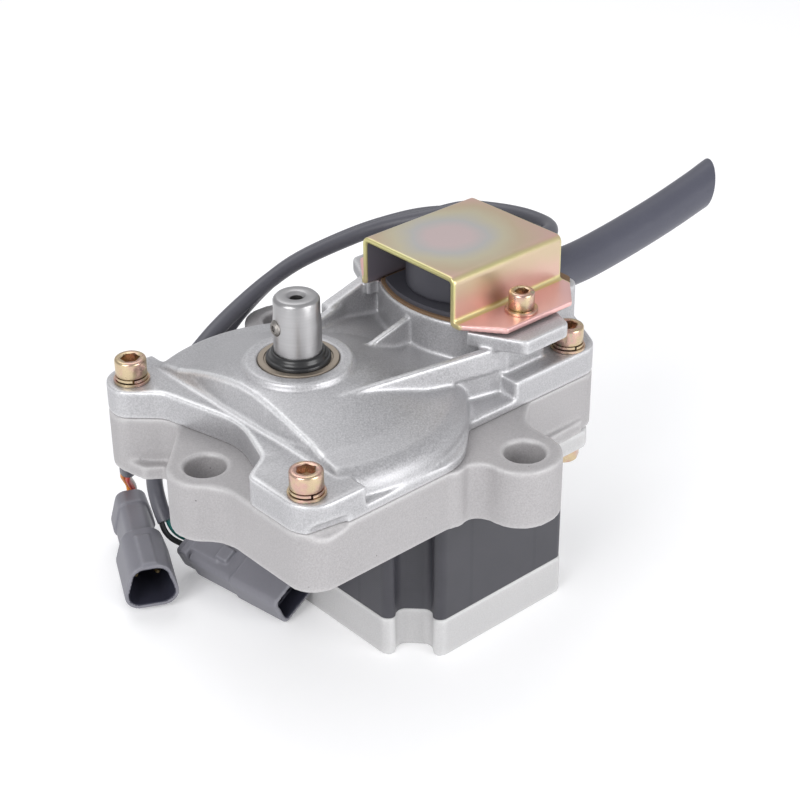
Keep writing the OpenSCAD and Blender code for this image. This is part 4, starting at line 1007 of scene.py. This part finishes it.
# finishes of the CAD nodes that stay as they are
staying = {
    "motor_stator": "stack", "output_gear": "gear", "shaft_cross_pin": "pin", "low_bearing": "bearing",
    "top_bearing": "bearing", "motor_bearings": "bearing", "motor_rotor": "gear",
    "motor_pinion": "brass", "motor_screws": "gear", "sensor_gasket": "gasket", "sensor_body": "sensor",
    "sensor_spindle": "shaft", "sensor_gear": "nylon", "tube_nipple": "brass", "cable_grommet": "rubber",
    "sensor_plug_pins": "brass", "motor_plug_core": "core",
}
for node, finish in staying.items():
    nodes[node].data.materials.clear()
    nodes[node].data.materials.append(finishes[finish])
print("CAD nodes finished,", len(staying))


# stage, light and camera
view = {"place": (-242.893, -266.457, 256.899), "azimuth": -41.6, "elevation": 30.05, "roll": -0.43,
        "lens": 81.0, "sensor": 36.0, "clip": (0.01, 20)}
stageLook = {"floor": (0.90, 0.90, 0.905), "shade": 0.99, "size": 6.0, "lift": 0.2, "sky": (0.97, 0.975, 1.0),
             "world": 0.6}
lamps = {  # place in m, aim, size and power
    "overhead": ((0.1, 0.35, 0.7), (0, 0, 0.05), 0.6, 1.3),
    "left": ((-0.8, -0.2, 0.5), (-0.02, 0, 0.05), 0.6, 4.4),
    "front": ((0.2, -0.85, 0.3), (0, 0, 0.05), 0.6, 3.9),
}


def addStage():
    half = stageLook["size"] / 2
    mesh = bpy.data.meshes.new("floor")
    corners = [(-half, -half, 0), (half, -half, 0), (half, half, 0), (-half, half, 0)]
    mesh.from_pydata(corners, [], [(0, 1, 2, 3)])
    floor = linked("floor", mesh)
    finish = Finish("floorPaper", roughness=0.7)
    cloud = finish.noise(3, 2, 0.5)
    kinds = ("Camera", "Glossy", "Transmission")
    rays = [cloud.node("ShaderNodeLightPath", out=f"Is {kind} Ray") for kind in kinds]
    # the floor shows paler than it lights
    seen = (rays[0] + rays[1] + rays[2]).maths("MINIMUM", 1.0) * stageLook["lift"]
    plug(finish.tree, finish.shader.inputs["Emission Color"], seen.blend((0, 0, 0), (1, 1, 1)))
    finish.shader.inputs["Emission Strength"].default_value = 1.0
    darker = tuple(c * stageLook["shade"] for c in stageLook["floor"])
    mesh.materials.append(finish.paint(cloud.blend(darker, stageLook["floor"])))
    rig.stage(floor)


def addLight():
    world = bpy.data.worlds.new("studio")
    bpy.context.scene.world = world
    world.use_nodes = True
    back = world.node_tree.nodes["Background"]
    back.inputs["Color"].default_value = (*stageLook["sky"], 1)
    back.inputs["Strength"].default_value = stageLook["world"]
    for name, (place, aim, size, power) in lamps.items():
        data = bpy.data.lights.new(name, "AREA")
        data.shape = "DISK"
        data.size = size
        data.energy = power
        lamp = linked(name, data)
        lamp.location = place
        lamp.rotation_mode = "QUATERNION"
        lamp.rotation_quaternion = (Vector(aim) - Vector(place)).to_track_quat("-Z", "Y")


def addCamera():
    a, e, r = (math.radians(view[k]) for k in ("azimuth", "elevation", "roll"))
    back = Vector((math.sin(a) * math.cos(e), -math.cos(a) * math.cos(e), math.sin(e)))
    right = Vector((math.cos(a), math.sin(a), 0))
    up = back.cross(right)
    axes = (right * math.cos(r) + up * math.sin(r), up * math.cos(r) - right * math.sin(r), back)
    data = bpy.data.cameras.new("camera")
    data.lens = view["lens"]
    data.sensor_width = view["sensor"]
    data.clip_start, data.clip_end = view["clip"]
    camera = linked("camera", data)
    turn = Matrix(axes).transposed().to_4x4()
    camera.matrix_world = Matrix.Translation(Vector(view["place"]) * mm) @ turn
    bpy.context.scene.camera = camera


addStage()
addLight()
addCamera()
bpy.context.scene.view_settings.view_transform = "Standard"
print("stage, light and camera set")

seenBox = [list(corner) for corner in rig.bounds()]
with open("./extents.json", "w") as sizes:
    json.dump({"cad": cadBox, "visual": seenBox}, sizes)
